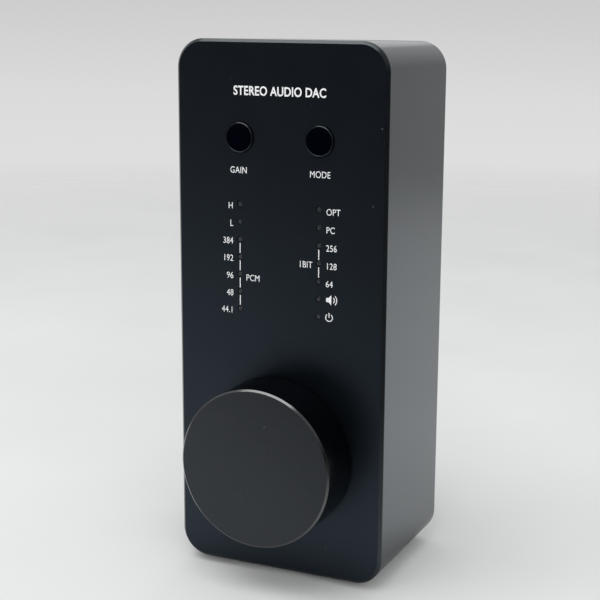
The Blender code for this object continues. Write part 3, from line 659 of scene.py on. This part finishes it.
def front_marks():
    """Generic white lettering: button names, level and rate numbers, and two plain symbols."""
    face = panel_low.y - INK / 2
    left = light_places()["light_guide_left"]
    right = light_places()["light_guide_right"]
    heights = light_heights()
    shapes = []

    def put(text, height, align, x, z, bold=0.0):
        shapes.append(text_shape(text, height, align, (x, face, z - height / 2), bold))

    put("STEREO AUDIO DAC", TITLE_HEIGHT, "CENTER", 0.0, TITLE_UP + panel_low.z, TITLE_BOLD)
    for text, x in (("GAIN", left + GAIN_SHIFT), ("MODE", right + MODE_SHIFT)):
        put(text, LABEL_HEIGHT, "CENTER", x, BUTTON_LABEL_UP + panel_low.z)
    for text, z in zip(("H", "L", "384", "192", "96", "48", "44.1"), heights):
        put(text, LABEL_HEIGHT, "RIGHT", left - OUTER_LABEL, z - LABEL_DROP)
    for text, z in zip(("OPT", "PC", "256", "128", "64"), heights):
        put(text, LABEL_HEIGHT, "LEFT", right + OUTER_LABEL, z - LABEL_DROP)
    put("PCM", LABEL_HEIGHT, "LEFT", left + INNER_LABEL, (heights[4] + heights[5]) / 2 + PCM_RISE)
    put("1BIT", LABEL_HEIGHT, "RIGHT", right - INNER_LABEL, heights[3] - LABEL_DROP)

    def lines(x, first, last):
        """Short upright lines between the lights of one column, from one light to another."""
        for top, bottom in zip(heights[first:last], heights[first + 1:last + 1]):
            shapes.append(block((x - LINE_HALF, face - INK / 2, bottom + LINE_GAP),
                                (x + LINE_HALF, face + INK / 2, top - LINE_GAP)))

    lines(left, 2, 6)
    lines(right, 2, 4)
    symbols = (speaker_symbol(right + SPEAKER_REACH, heights[5])
               + power_symbol(right + POWER_REACH, heights[6]))
    shapes += [prism(outline, face - INK / 2, face + INK / 2) for outline in symbols]
    item = make_mesh("front_marks", shapes)
    finish_piece(item, white_ink)


# Casing, rear panel and feet

CASING_WALL = 2.0 * MM
POCKET_GAP = 0.3 * MM
POCKET_DEPTH = 0.5 * MM

REAR_EDGE = 0.12 * MM
SCREW_HOLE = 1.3 * MM
SINK_RADIUS = 2.2 * MM
SINK_DEPTH = 1.1 * MM
SINK_LIP = 0.2 * MM
USB_CORNER = 1.6 * MM
USB_GAP = 0.2 * MM
OPTICAL_CORNER = 0.5 * MM
OPTICAL_GAP = 0.25 * MM
PHONO_GAP = 0.4 * MM
SMALL_JACK_HOLE = 3.2 * MM
LARGE_JACK_HOLE = 5.0 * MM

FOOT_TAPER = 0.2 * MM
FOOT_RIM = 0.3 * MM
FOOT_SOFTNESS = 0.35 * MM


def numbered(name):
    """The four nodes of a kind, each with its number at the end of its name."""
    return [f"{name}_{number}" for number in range(1, 5)]


def casing():
    """One open tube with round lips, and a shallow pocket for each foot."""
    front, back = panel_low.y + FLANGE + SEAM, casing_high.y
    profile = soften([(0.0, front), (0.0, back), (CASING_WALL, back), (CASING_WALL, front)],
                     LIP_SOFTNESS, closed=True)
    item = make_mesh("fine_casing", [loft([(body_outline(i), d) for i, d in profile], closed=True)])
    pockets = []
    for name in numbered("foot"):
        low, high, middle = node_box(name)
        outline = circle((high.x - low.x) / 2 + POCKET_GAP, HOLE_STEPS, (middle.x, middle.y))
        pockets.append(prism(outline, casing_low.z - PAST, casing_low.z + POCKET_DEPTH, "Z"))
    carve(item, "DIFFERENCE", pockets)
    finish_piece(item, casing_black, nodes=["casing"])


def rear_panel():
    """A plate that sits inside the casing, with countersunk screw holes and a hole per socket."""
    front, back = rear_low.y, rear_high.y
    item = make_mesh("fine_rear_panel", [loft([
        (body_outline(STEP_INSET), front), (body_outline(STEP_INSET), back - REAR_EDGE),
        (body_outline(STEP_INSET + REAR_EDGE), back)])])
    sink = [(SCREW_HOLE, front - PAST), (SCREW_HOLE, back - SINK_DEPTH),
            (SINK_RADIUS, back - SINK_LIP), (SINK_RADIUS, back + PAST)]
    cutters = []
    for name in numbered("tie_screw"):
        middle = node_box(name)[2]
        cutters.append(turned(sink, (middle.x, middle.z), HOLE_STEPS))

    def cut_through(outline):
        cutters.append(prism(outline, front - PAST, back + PAST))

    for name in ("usb_data_port", "usb_power_port"):
        low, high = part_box(name)
        cut_through(rounded((low.x, low.z), (high.x, high.z), USB_CORNER, -USB_GAP, SLOT_STEPS))
    low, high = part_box("optical_socket")
    cut_through(rounded((low.x, low.z), (high.x, high.z), OPTICAL_CORNER, -OPTICAL_GAP,
                        SOCKET_STEPS))
    for name in ("phono_right_shell", "phono_left_shell"):
        low, high, middle = node_box(name)
        radius = (high.x - low.x) / 2 + PHONO_GAP
        cut_through(circle(radius, HOLE_STEPS, (middle.x, middle.z)))
    for name, radius in (("small_jack", SMALL_JACK_HOLE), ("large_jack", LARGE_JACK_HOLE)):
        middle = node_box(name)[2]
        cut_through(circle(radius, HOLE_STEPS, (middle.x, middle.z)))
    carve(item, "DIFFERENCE", cutters)
    finish_piece(item, rear_black, nodes=["rear_panel"])


def feet():
    for name in numbered("foot"):
        low, high, middle = node_box(name)
        radius = (high.x - low.x) / 2
        profile = soften([
            (0.0, low.z), (radius - FOOT_TAPER, low.z), (radius, high.z - FOOT_RIM),
            (radius, high.z)], FOOT_SOFTNESS)
        item = make_mesh(f"fine_{name}",
                         [turned(from_axis(profile), (middle.x, middle.y), HOLE_STEPS, "Z")])
        finish_piece(item, soft_rubber, nodes=[name])


# Volume knob. Depths are from the knob's face.

KNOB_CHAMFER = 0.37 * MM
KNOB_SOFTNESS = 0.05 * MM
KNOB_WALL = 2.2 * MM
KNOB_FLOOR = 3.5 * MM
HUB_RADIUS = 6.0 * MM
HUB_DEPTH = 7.0 * MM
KNOB_BORE = 3.3 * MM
BORE_FLOOR = 1.3 * MM
GRUB_HOLE = 1.6 * MM
GRUB_REACH = 2 * MM


def volume_knob():
    """A turned cup: flat blasted face, narrow bright chamfer, plain side, hollow back and a hub."""
    radius = (knob_high.x - knob_low.x) / 2
    inner = radius - KNOB_WALL
    face, back = knob_low.y, knob_high.y
    chamfer_back = face + KNOB_CHAMFER
    floor, hub_back, bore_floor = face + KNOB_FLOOR, face + HUB_DEPTH, face + BORE_FLOOR
    profile = soften([(2 * KNOB_BORE, face), (radius - KNOB_CHAMFER, face), (radius, chamfer_back),
                      (radius, back), (inner, back), (inner, floor), (HUB_RADIUS, floor),
                      (HUB_RADIUS, hub_back), (KNOB_BORE, hub_back), (KNOB_BORE, bore_floor)],
                     KNOB_SOFTNESS, steps=3)
    profile = from_axis(profile) + [(AXIS_GAP, bore_floor)]
    item = make_mesh("fine_volume_knob", [turned(profile, (knob_mid.x, knob_mid.z), KNOB_STEPS)])
    screw = node_box("knob_set_screw")[2]
    carve(item, "DIFFERENCE", [prism(circle(GRUB_HOLE, SHAFT_STEPS, (screw.x, screw.y)),
                                     knob_low.z - PAST, screw.z + GRUB_REACH, "Z")])
    finish_piece(item, knob_black, "volume_control", ["volume_knob"])

    def on_rim(centre, normal):
        return slopes_forward(centre, normal) and centre.y < chamfer_back

    def behind_rim(centre, normal):
        return centre.y > chamfer_back

    paint_faces(item, rim_bright, on_rim)
    paint_faces(item, turned_black_and_chamfer_shade, behind_rim)


# USB ports

USB_LIP = 0.08 * MM
USB_WALL = 0.3 * MM
USB_FLOOR = 1 * MM
TONGUE_HALF = (0.35 * MM, 3.35 * MM)
TONGUE_FRONT = 0.9 * MM
TONGUE_BACK = 1.0 * MM
TONGUE_CORNER = 0.3 * MM
TONGUE_EDGE = 0.15 * MM
CONTACTS = 12
CONTACT_PITCH = 0.5 * MM
CONTACT_HALF = (0.02 * MM, 0.13 * MM)
CONTACT_RISE = 0.01 * MM
CONTACT_ENDS = (2.6 * MM, 0.4 * MM)


def usb_ports():
    """USB-C sockets: a folded steel shell, the tongue inside it and the tongue's contacts."""
    for name in ("usb_data_port", "usb_power_port"):
        low, high, middle = node_box(name)
        profile = soften([(0.0, low.y), (0.0, high.y), (USB_WALL, high.y),
                          (USB_WALL, low.y + USB_FLOOR)], USB_LIP)
        shell = make_mesh(f"fine_{name}_shell", [loft([
            (rounded((low.x, low.z), (high.x, high.z), USB_CORNER, inset, PORT_STEPS), d)
            for inset, d in profile])])
        finish_piece(shell, bright_steel, nodes=[name])

        half_x, half_z = TONGUE_HALF
        start, end = low.y + TONGUE_FRONT, high.y - TONGUE_BACK
        tongue = make_mesh(f"fine_{name}_tongue", [loft([
            (rounded((middle.x - half_x, middle.z - half_z), (middle.x + half_x, middle.z + half_z),
                     TONGUE_CORNER, inset, MOUTH_STEPS), d)
            for inset, d in ((0.0, start), (0.0, end - TONGUE_EDGE), (TONGUE_EDGE, end))])])
        finish_piece(tongue, moulded_black)

        pads = []
        pad_x, pad_z = CONTACT_HALF
        for side in (-1, 1):
            x = middle.x + side * (half_x + CONTACT_RISE)
            for i in range(CONTACTS):
                z = middle.z + (i - (CONTACTS - 1) / 2) * CONTACT_PITCH
                pads.append(block((x - pad_x, end - CONTACT_ENDS[0], z - pad_z),
                                  (x + pad_x, end - CONTACT_ENDS[1], z + pad_z)))
        contacts = make_mesh(f"fine_{name}_contacts", pads)
        finish_piece(contacts, gold)


# Optical socket and its shutter

OPTICAL_EDGE = 0.2 * MM
MOUTH_HALF = 3.2 * MM
MOUTH_BELOW = 3.1 * MM
MOUTH_ABOVE = 4.1 * MM
MOUTH_CORNER = 0.4 * MM
MOUTH_FLARE = 0.35 * MM
MOUTH_FLOOR = 3.4 * MM
FLAP_HALF = 0.35 * MM
FLAP_CORNER = 0.3 * MM
FLAP_EDGE = 0.1 * MM
PIN_RADIUS = 0.5 * MM


def optical_socket():
    """A moulded housing with a flared mouth, and the shutter that hangs on a pin behind it."""
    low, high, middle = node_box("optical_socket")
    outer_low, outer_high = (low.x, low.z), (high.x, high.z)
    housing = make_mesh("fine_optical_socket", [loft([
        (rounded(outer_low, outer_high, OPTICAL_CORNER, inset, SOCKET_STEPS), d)
        for inset, d in ((0.0, low.y), (0.0, high.y - OPTICAL_EDGE), (OPTICAL_EDGE, high.y))])])
    mouth_low = (middle.x - MOUTH_HALF, middle.z - MOUTH_BELOW)
    mouth_high = (middle.x + MOUTH_HALF, middle.z + MOUTH_ABOVE)
    straight = rounded(mouth_low, mouth_high, MOUTH_CORNER, 0.0, MOUTH_STEPS)
    flared = rounded(mouth_low, mouth_high, MOUTH_CORNER + MOUTH_FLARE, -MOUTH_FLARE, MOUTH_STEPS)
    carve(housing, "DIFFERENCE", [loft([
        (straight, low.y + MOUTH_FLOOR), (straight, high.y - MOUTH_FLARE), (flared, high.y),
        (flared, high.y + PAST)])])
    finish_piece(housing, moulded_black, nodes=["optical_socket"])

    low, high, middle = node_box("optical_shutter")
    hinge = high.z - PIN_RADIUS
    front, back = middle.y - FLAP_HALF, middle.y + FLAP_HALF
    flap = loft([
        (rounded((low.x, low.z), (high.x, hinge), FLAP_CORNER, inset, FLAP_STEPS), d)
        for inset, d in ((FLAP_EDGE, front), (0.0, front + FLAP_EDGE),
                         (0.0, back - FLAP_EDGE), (FLAP_EDGE, back))])
    pin = prism(circle(PIN_RADIUS, PEG_STEPS, (middle.y, hinge)), low.x, high.x, "X")
    shutter = make_mesh("fine_optical_shutter", [flap])
    carve(shutter, "UNION", [pin])
    finish_piece(shutter, moulded_black, "optical_door", ["optical_shutter"])


# Phono sockets

SHELL_OUTER = 4.15 * MM
SHELL_INNER = 3.55 * MM
SHELL_CHAMFER = (0.25 * MM, 0.4 * MM)
INSULATOR_RADIUS = 3.2 * MM
INSULATOR_HOLE = 1.75 * MM
INSULATOR_FLOOR = 4.4 * MM
INSULATOR_SOFTNESS = 0.15 * MM
TUBE_OUTER = 1.7 * MM
TUBE_INNER = 1.45 * MM
TUBE_FLOOR = 4.5 * MM
TUBE_BACK = 0.5 * MM
TUBE_SOFTNESS = 0.06 * MM


def phono_sockets():
    """A plated outer shell, a coloured insulator and a sprung contact tube in its middle."""
    for side, plastic, slot in (("right", red_plastic, "red_plastic"),
                                ("left", white_plastic, "white_plastic")):
        name = f"phono_{side}_shell"
        low, high, middle = node_box(name)
        centre = (middle.x, middle.z)
        inward, down = SHELL_CHAMFER
        profile = soften([(SHELL_OUTER, low.y), (SHELL_OUTER, high.y - down),
                          (SHELL_OUTER - inward, high.y), (SHELL_INNER, high.y),
                          (SHELL_INNER, low.y)], LIP_SOFTNESS, closed=True)
        shell = make_mesh(f"fine_{name}", [turned(profile, centre, closed=True)])
        finish_piece(shell, nickel, nodes=[name])

        name = f"phono_{side}_insulator"
        low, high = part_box(name)
        floor = low.y + INSULATOR_FLOOR
        profile = soften([(INSULATOR_RADIUS, low.y), (INSULATOR_RADIUS, high.y),
                          (INSULATOR_HOLE, high.y), (INSULATOR_HOLE, floor), (AXIS_GAP, floor)],
                         INSULATOR_SOFTNESS)
        insulator = make_mesh(f"fine_{name}", [turned(profile, centre, HOLE_STEPS)])
        finish_piece(insulator, plastic, nodes=[name])

        start, end = low.y + TUBE_FLOOR, high.y - TUBE_BACK
        tube = soften([(TUBE_OUTER, start), (TUBE_OUTER, end), (TUBE_INNER, end),
                       (TUBE_INNER, start)], TUBE_SOFTNESS, closed=True)
        contact = make_mesh(f"fine_phono_{side}_contact",
                            [turned(tube, centre, SHAFT_STEPS, closed=True)])
        finish_piece(contact, gold)


# Headphone jacks

JACK_BODY_BACK = 0.3 * MM
SMALL_NOSE = 2.9 * MM
SMALL_BORE = 1.8 * MM
SMALL_FLARE = (2.1 * MM, 0.3 * MM)
SMALL_FLOOR = 2 * MM
FERRULE = 4.7 * MM
FERRULE_TIP = (4.4 * MM, 0.3 * MM)
LARGE_BORE = 3.3 * MM
LARGE_FLARE = (3.7 * MM, 0.4 * MM)
LARGE_FLOOR = 1.5 * MM
THREAD_TURNS = 6
THREAD_PITCH = 0.5 * MM
THREAD_DEPTH = 0.22 * MM
THREAD_CREST = (0.35, 0.65)
THREAD_END = 0.35 * MM
THREAD_LEAD = 0.2 * MM

# The nut: its faces and its middle as shares of half its width, then depths from either face
NUT_FRONT_SHARE = 1.02
NUT_BACK_SHARE = 1.0
NUT_SWELL_SHARE = 1.2
NUT_SLOPE = 0.5 * MM
NUT_FRONT_FLAT = 0.1 * MM
NUT_BACK_FLAT = 0.02 * MM
NUT_PAST = 0.1 * MM
NUT_BORE = 5.0 * MM
NUT_LEAD = 0.3 * MM
NUT_LEAD_DEPTH = 0.2 * MM


def flared_bore(radius, floor, back, flare):
    """A cutter for a round bore that widens at its mouth, by a flare's radius and length."""
    mouth, length = flare
    return [(radius, floor), (radius, back - length), (mouth, back), (mouth, back + PAST)]


def ferrule_profile(front, back):
    """The threaded nose of the large jack, from inside its body to its chamfered tip."""
    start = back - THREAD_END - THREAD_TURNS * THREAD_PITCH
    profile = [(FERRULE, front), (FERRULE, start - THREAD_LEAD)]
    for turn in range(THREAD_TURNS):
        root = start + turn * THREAD_PITCH
        profile.append((FERRULE - THREAD_DEPTH, root))
        profile += [(FERRULE, root + THREAD_PITCH * share) for share in THREAD_CREST]
    tip, length = FERRULE_TIP
    return profile + [(FERRULE - THREAD_DEPTH, back - length), (tip, back)]


def headphone_jacks():
    low, high, middle = node_box("small_jack")
    centre = (middle.x, middle.z)
    back = rear_low.y - JACK_BODY_BACK
    small = make_mesh("fine_small_jack", [block(low, (high.x, back, high.z))])
    carve(small, "UNION", [prism(circle(SMALL_NOSE, HOLE_STEPS, centre), back - PAST, high.y)])
    bore = flared_bore(SMALL_BORE, low.y + SMALL_FLOOR, high.y, SMALL_FLARE)
    carve(small, "DIFFERENCE", [turned(bore, centre, HOLE_STEPS)])
    finish_piece(small, moulded_black, nodes=["small_jack"])

    low, high, middle = node_box("large_jack")
    centre = (middle.x, middle.z)
    large = make_mesh("fine_large_jack", [block(low, (high.x, back, high.z))])
    carve(large, "UNION", [turned(ferrule_profile(back - PAST, high.y), centre)])
    bore = flared_bore(LARGE_BORE, low.y + LARGE_FLOOR, high.y, LARGE_FLARE)
    carve(large, "DIFFERENCE", [turned(bore, centre)])
    finish_piece(large, moulded_black, nodes=["large_jack"])
    jack_nut(centre)


def jack_nut(centre):
    """The large jack's hexagon nut: corners turned down at both faces, and a bore with leads."""
    low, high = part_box("large_jack_nut")
    front, back = low.y, high.y
    across = (high.z - low.z) / 2
    nut = make_mesh("fine_large_jack_nut", [
        prism(circle(across / math.cos(math.pi / 6), 6, centre), front, back)])
    front_face, back_face = across * NUT_FRONT_SHARE, across * NUT_BACK_SHARE
    swell = across * NUT_SWELL_SHARE
    cone = [(front_face, front - NUT_PAST), (front_face, front + NUT_FRONT_FLAT),
            (swell, front + NUT_SLOPE), (swell, back - NUT_SLOPE),
            (back_face, back - NUT_BACK_FLAT), (back_face, back + NUT_PAST)]
    carve(nut, "INTERSECT", [turned(cone, centre)])
    mouth = NUT_BORE + NUT_LEAD
    bore = [(mouth, front - NUT_LEAD), (NUT_BORE, front + NUT_LEAD_DEPTH),
            (NUT_BORE, back - NUT_LEAD_DEPTH), (mouth, back + NUT_LEAD)]
    carve(nut, "DIFFERENCE", [turned(bore, centre)])
    finish_piece(nut, nickel, nodes=["large_jack_nut"])


# Tie screws

SHANK_RADIUS = 1.0 * MM
HEAD_RADIUS = 1.9 * MM
HEAD_DEPTH = 1.0 * MM
HEAD_LIP = 0.1 * MM
HEAD_SOFTNESS = 0.05 * MM
KEY_RADIUS = 0.75 * MM
KEY_DEPTH = 0.7 * MM


def tie_screws():
    """Countersunk screws with a hexagon socket in the head."""
    for name in numbered("tie_screw"):
        low, high, middle = node_box(name)
        centre = (middle.x, middle.z)
        profile = soften([(SHANK_RADIUS, low.y), (SHANK_RADIUS, high.y - HEAD_DEPTH),
                          (HEAD_RADIUS, high.y - HEAD_LIP), (HEAD_RADIUS, high.y),
                          (SHANK_RADIUS / 2, high.y)], HEAD_SOFTNESS)
        profile = profile[:-1] + [(AXIS_GAP, high.y)]
        screw = make_mesh(f"fine_{name}", [turned(profile, centre, SHAFT_STEPS)])
        key = prism(circle(KEY_RADIUS, 6, centre), high.y - KEY_DEPTH, high.y + PAST)
        carve(screw, "DIFFERENCE", [key])
        finish_piece(screw, black_steel, nodes=[name])


# Rear marks

REAR_LETTERS = 1.6 * MM
REAR_MARGIN = 3.4 * MM


def rear_marks():
    """Plain function words and numbers beside the rear sockets, which read from behind."""
    face = rear_high.y + INK / 2
    start = rear_high.x - REAR_MARGIN
    shapes = []
    rows = (("usb_data_port", "PC IN"), ("usb_power_port", "5V"), ("optical_socket", "OPT IN"),
            ("phono_right_shell", "R"), ("phono_left_shell", "L"), ("small_jack", "3.5"),
            ("large_jack", "6.35"))
    for name, text in rows:
        foot = node_box(name)[2].z - REAR_LETTERS / 2
        points, faces = text_shape(text, REAR_LETTERS, "LEFT", (0.0, 0.0, 0.0))
        shapes.append(([(start - x, face + y, foot + z) for x, y, z in points], faces))
    item = make_mesh("rear_marks", shapes)
    finish_piece(item, white_ink)


# Pieces that stay as the CAD made them

def paint_nodes():
    finishes = {
        "board_green": board_green, "black_plastic": moulded_black, "steel": bright_steel,
        "nickel_plate": nickel, "screw_black": black_steel, "can_aluminium": can_metal,
        "light_guide_clear": guide_clear, "red_plastic": red_plastic,
        "white_plastic": white_plastic, "foot_rubber": soft_rubber, "button_black": gloss_black,
        "knob_black": knob_black, "panel_black": panel_black, "casing_black": casing_black,
        "rear_black": rear_black,
    }
    for entry in frame["record"]["subparts"]:
        node = frame["nodes"][entry["node"]]
        node.data.materials.clear()
        node.data.materials.append(finishes[entry["material_slot"]])


# Stage, light and camera

FLOOR_RADIUS = 1.7
FLOOR_STEPS = 128
FLOOR_TINTS = ((0.73, 0.74, 0.74), (0.77, 0.775, 0.775))
# Painted shade: the dark colour that gloss sees on the floor out in front and to the right, and as
# a painted shadow close to the object
PAINTED_SHADE_TINT = (0.1, 0.1, 0.1)
FAR_PAINTED_SHADE = (-0.185, -0.05)
NEAR_PAINTED_SHADOW = (0.026, 0.041)
NEAR_SHADOW_STRENGTH = 0.5
FLOOR_FADE = (0.3, 0.95)


def make_floor():
    """A wide pale floor that thins out into the backdrop.

    Only gloss sees two patches of painted shade in the floor's colour. One lies out in front and to
    the right, darkened as a studio table looks where its light ends. The other is a painted shadow
    on the floor close to the object, which stands in its own shade.
    """
    nodes = Nodes("floor")
    nodes.inputs["Roughness"].default_value = 0.9
    nodes.inputs["Specular IOR Level"].default_value = 0.2
    tint = nodes.blend(nodes.spread(nodes.noise(12.0, detail=3.0), 0.0, 1.0), *FLOOR_TINTS)
    split = nodes.add("ShaderNodeSeparateXYZ")
    nodes.join(nodes.place, split.inputs[0])
    sideways = nodes.add("ShaderNodeMath", {1: -1.0}, operation="MULTIPLY_ADD")
    nodes.join(split.outputs["X"], sideways.inputs[0])
    nodes.join(split.outputs["Y"], sideways.inputs[2])
    far_floor_shade = nodes.spread(sideways.outputs[0], 1.0, 0.0, *FAR_PAINTED_SHADE)
    distance = nodes.add("ShaderNodeVectorMath", operation="LENGTH")
    nodes.join(nodes.place, distance.inputs[0])
    near_floor_shadow = nodes.spread(distance.outputs["Value"], NEAR_SHADOW_STRENGTH, 0.0, *NEAR_PAINTED_SHADOW)
    painted_floor_shade = nodes.add("ShaderNodeMath", operation="MAXIMUM")
    nodes.join(far_floor_shade, painted_floor_shade.inputs[0])
    nodes.join(near_floor_shadow, painted_floor_shade.inputs[1])
    path = nodes.add("ShaderNodeLightPath")
    floor_shade_in_gloss = nodes.add("ShaderNodeMath", operation="MULTIPLY")
    nodes.join(painted_floor_shade.outputs[0], floor_shade_in_gloss.inputs[0])
    nodes.join(path.outputs["Is Glossy Ray"], floor_shade_in_gloss.inputs[1])
    # Painted shade: only gloss rays see the floor's colour darkened towards the shade colour, far
    # out in front and to the right, and as a painted shadow near the object
    nodes.set_colour(nodes.blend(floor_shade_in_gloss.outputs[0], tint, PAINTED_SHADE_TINT))
    fade = nodes.spread(distance.outputs["Value"], 1.0, 0.0, *FLOOR_FADE)
    fade.node.interpolation_type = "SMOOTHERSTEP"
    nodes.join(fade, nodes.inputs["Alpha"])
    outline = circle(FLOOR_RADIUS, FLOOR_STEPS)
    mesh = bpy.data.meshes.new("floor")
    mesh.from_pydata([(x, y, 0.0) for x, y in outline], [], [tuple(range(len(outline)))])
    mesh.materials.append(nodes.material)
    floor = bpy.data.objects.new("floor", mesh)
    bpy.context.scene.collection.objects.link(floor)


# Light from around: stops of direction and grey
AROUND = [(-1.0, 0.02), (-0.4, 0.03), (0.3, 0.35), (0.9, 0.42)]
OVERHEAD = [(0.1, 0.0), (0.5, 0.3), (1.0, 0.3)]
REAR_WALL_SPREAD = [(0.2, 0.0), (0.8, 1.0)]
REAR_WALL_EDGE = [(0.44, 0.0), (0.48, 0.33), (0.9, 0.33)]
RIGHT_FILL = [(0.95, 0.0), (1.3, 3.0)]
FRONT_FILL = [(-1.0, 0.5), (-0.1, 0.0)]
BACKDROP = [(-0.15, 0.76), (-0.05, 0.71), (0.02, 0.61), (0.2, 0.52)]


def make_world():
    """Pale surroundings behind and above, dark on the side that the front panel faces.

    Matt surfaces also get some fill from the front and the right, and the camera sees a backdrop.
    """
    world = bpy.data.worlds.new("studio")
    bpy.context.scene.world = world
    nodes = Tree(world)
    place = nodes.add("ShaderNodeTexCoord")
    split = nodes.add("ShaderNodeSeparateXYZ")
    nodes.join(place.outputs["Generated"], split.inputs[0])

    def ramp(value, stops, reach=1.0):
        """A grey ramp over a part of the direction that runs from -reach to reach."""
        scaled = nodes.add("ShaderNodeMapRange", {"From Min": -reach, "From Max": reach})
        nodes.join(value, scaled.inputs["Value"])
        node = nodes.add("ShaderNodeValToRGB")
        while len(node.color_ramp.elements) < len(stops):
            node.color_ramp.elements.new(0.5)
        for element, (position, grey) in zip(node.color_ramp.elements, stops):
            element.position = (position / reach + 1) / 2
            element.color = (grey, grey, grey, 1.0)
        nodes.join(scaled.outputs["Result"], node.inputs[0])
        return node.outputs[0]

    def mix(blend, factor, first, second):
        node = nodes.add("ShaderNodeMix", {"Factor": 1.0}, data_type="RGBA", blend_type=blend)
        if factor:
            nodes.join(factor, node.inputs["Factor"])
        nodes.join(first, node.inputs["A"])
        nodes.join(second, node.inputs["B"])
        return node.outputs["Result"]

    def less(first, second):
        node = nodes.add("ShaderNodeMath", operation="SUBTRACT")
        nodes.join(split.outputs[first], node.inputs[0])
        nodes.join(split.outputs[second], node.inputs[1])
        return node.outputs[0]

    around = ramp(split.outputs["Y"], AROUND)
    rear_wall = mix("MULTIPLY", None, ramp(split.outputs["Y"], REAR_WALL_SPREAD),
                    ramp(less("Z", "X"), REAR_WALL_EDGE))
    right_fill = ramp(less("X", "Y"), RIGHT_FILL, math.sqrt(2))
    front_fill = ramp(split.outputs["Y"], FRONT_FILL)
    overhead = ramp(split.outputs["Z"], OVERHEAD)
    path = nodes.add("ShaderNodeLightPath")
    lighting = mix("ADD", None, mix("ADD", None, around, rear_wall), overhead)
    lighting = mix("ADD", path.outputs["Is Diffuse Ray"], lighting,
                   mix("ADD", None, right_fill, front_fill))
    final = mix("MIX", path.outputs["Is Camera Ray"], lighting, ramp(split.outputs["Z"], BACKDROP))
    nodes.join(final, nodes.tree.nodes["Background"].inputs["Color"])


SOFTBOX_AT = Vector((-0.09, -0.2, 0.58))
SOFTBOX_AIM = Vector((0.0, 0.0, 0.05))
SOFTBOX_SIZE = (0.6, 0.36)
SOFTBOX_POWER = 1.74


def make_softbox():
    """The one lamp: a wide softbox above the front, a little to the left."""
    data = bpy.data.lights.new("front_box", "AREA")
    data.shape = "RECTANGLE"
    data.size, data.size_y = SOFTBOX_SIZE
    data.energy = SOFTBOX_POWER
    light = bpy.data.objects.new("front_box", data)
    bpy.context.scene.collection.objects.link(light)
    light.location = SOFTBOX_AT
    light.rotation_euler = (SOFTBOX_AIM - SOFTBOX_AT).to_track_quat("-Z", "Y").to_euler()


# The camera, from the middle of the front panel's lower edge, in the panel's own axes
CAMERA_FROM_PANEL = Vector((110.6, -223.3, 108.6)) * MM
CAMERA_YAW = math.radians(22.67)
CAMERA_PITCH = math.radians(11.74)
CAMERA_ROLL = math.radians(0.85)
CAMERA_LENS = 77.36
CAMERA_SHIFT = -0.1


def make_camera():
    data = bpy.data.cameras.new("camera")
    data.sensor_width = 36.0
    data.lens = CAMERA_LENS
    data.shift_x = CAMERA_SHIFT
    data.clip_start = 0.01
    data.clip_end = 20.0
    camera = bpy.data.objects.new("camera", data)
    bpy.context.scene.collection.objects.link(camera)
    camera.location = Vector((panel_mid.x, panel_low.y, panel_low.z)) + CAMERA_FROM_PANEL
    aim = Vector((
        -math.sin(CAMERA_YAW) * math.cos(CAMERA_PITCH),
        math.cos(CAMERA_YAW) * math.cos(CAMERA_PITCH),
        -math.sin(CAMERA_PITCH),
    ))
    roll = Quaternion((0.0, 0.0, 1.0), CAMERA_ROLL)
    camera.rotation_mode = "QUATERNION"
    camera.rotation_quaternion = aim.to_track_quat("-Z", "Y") @ roll
    bpy.context.scene.camera = camera


paint_nodes()
front_panel()
push_buttons()
light_guides()
front_marks()
casing()
rear_panel()
rear_marks()
feet()
volume_knob()
usb_ports()
optical_socket()
phono_sockets()
headphone_jacks()
tie_screws()
make_floor()
make_world()
make_softbox()
make_camera()
bpy.context.scene.view_settings.view_transform = "Standard"
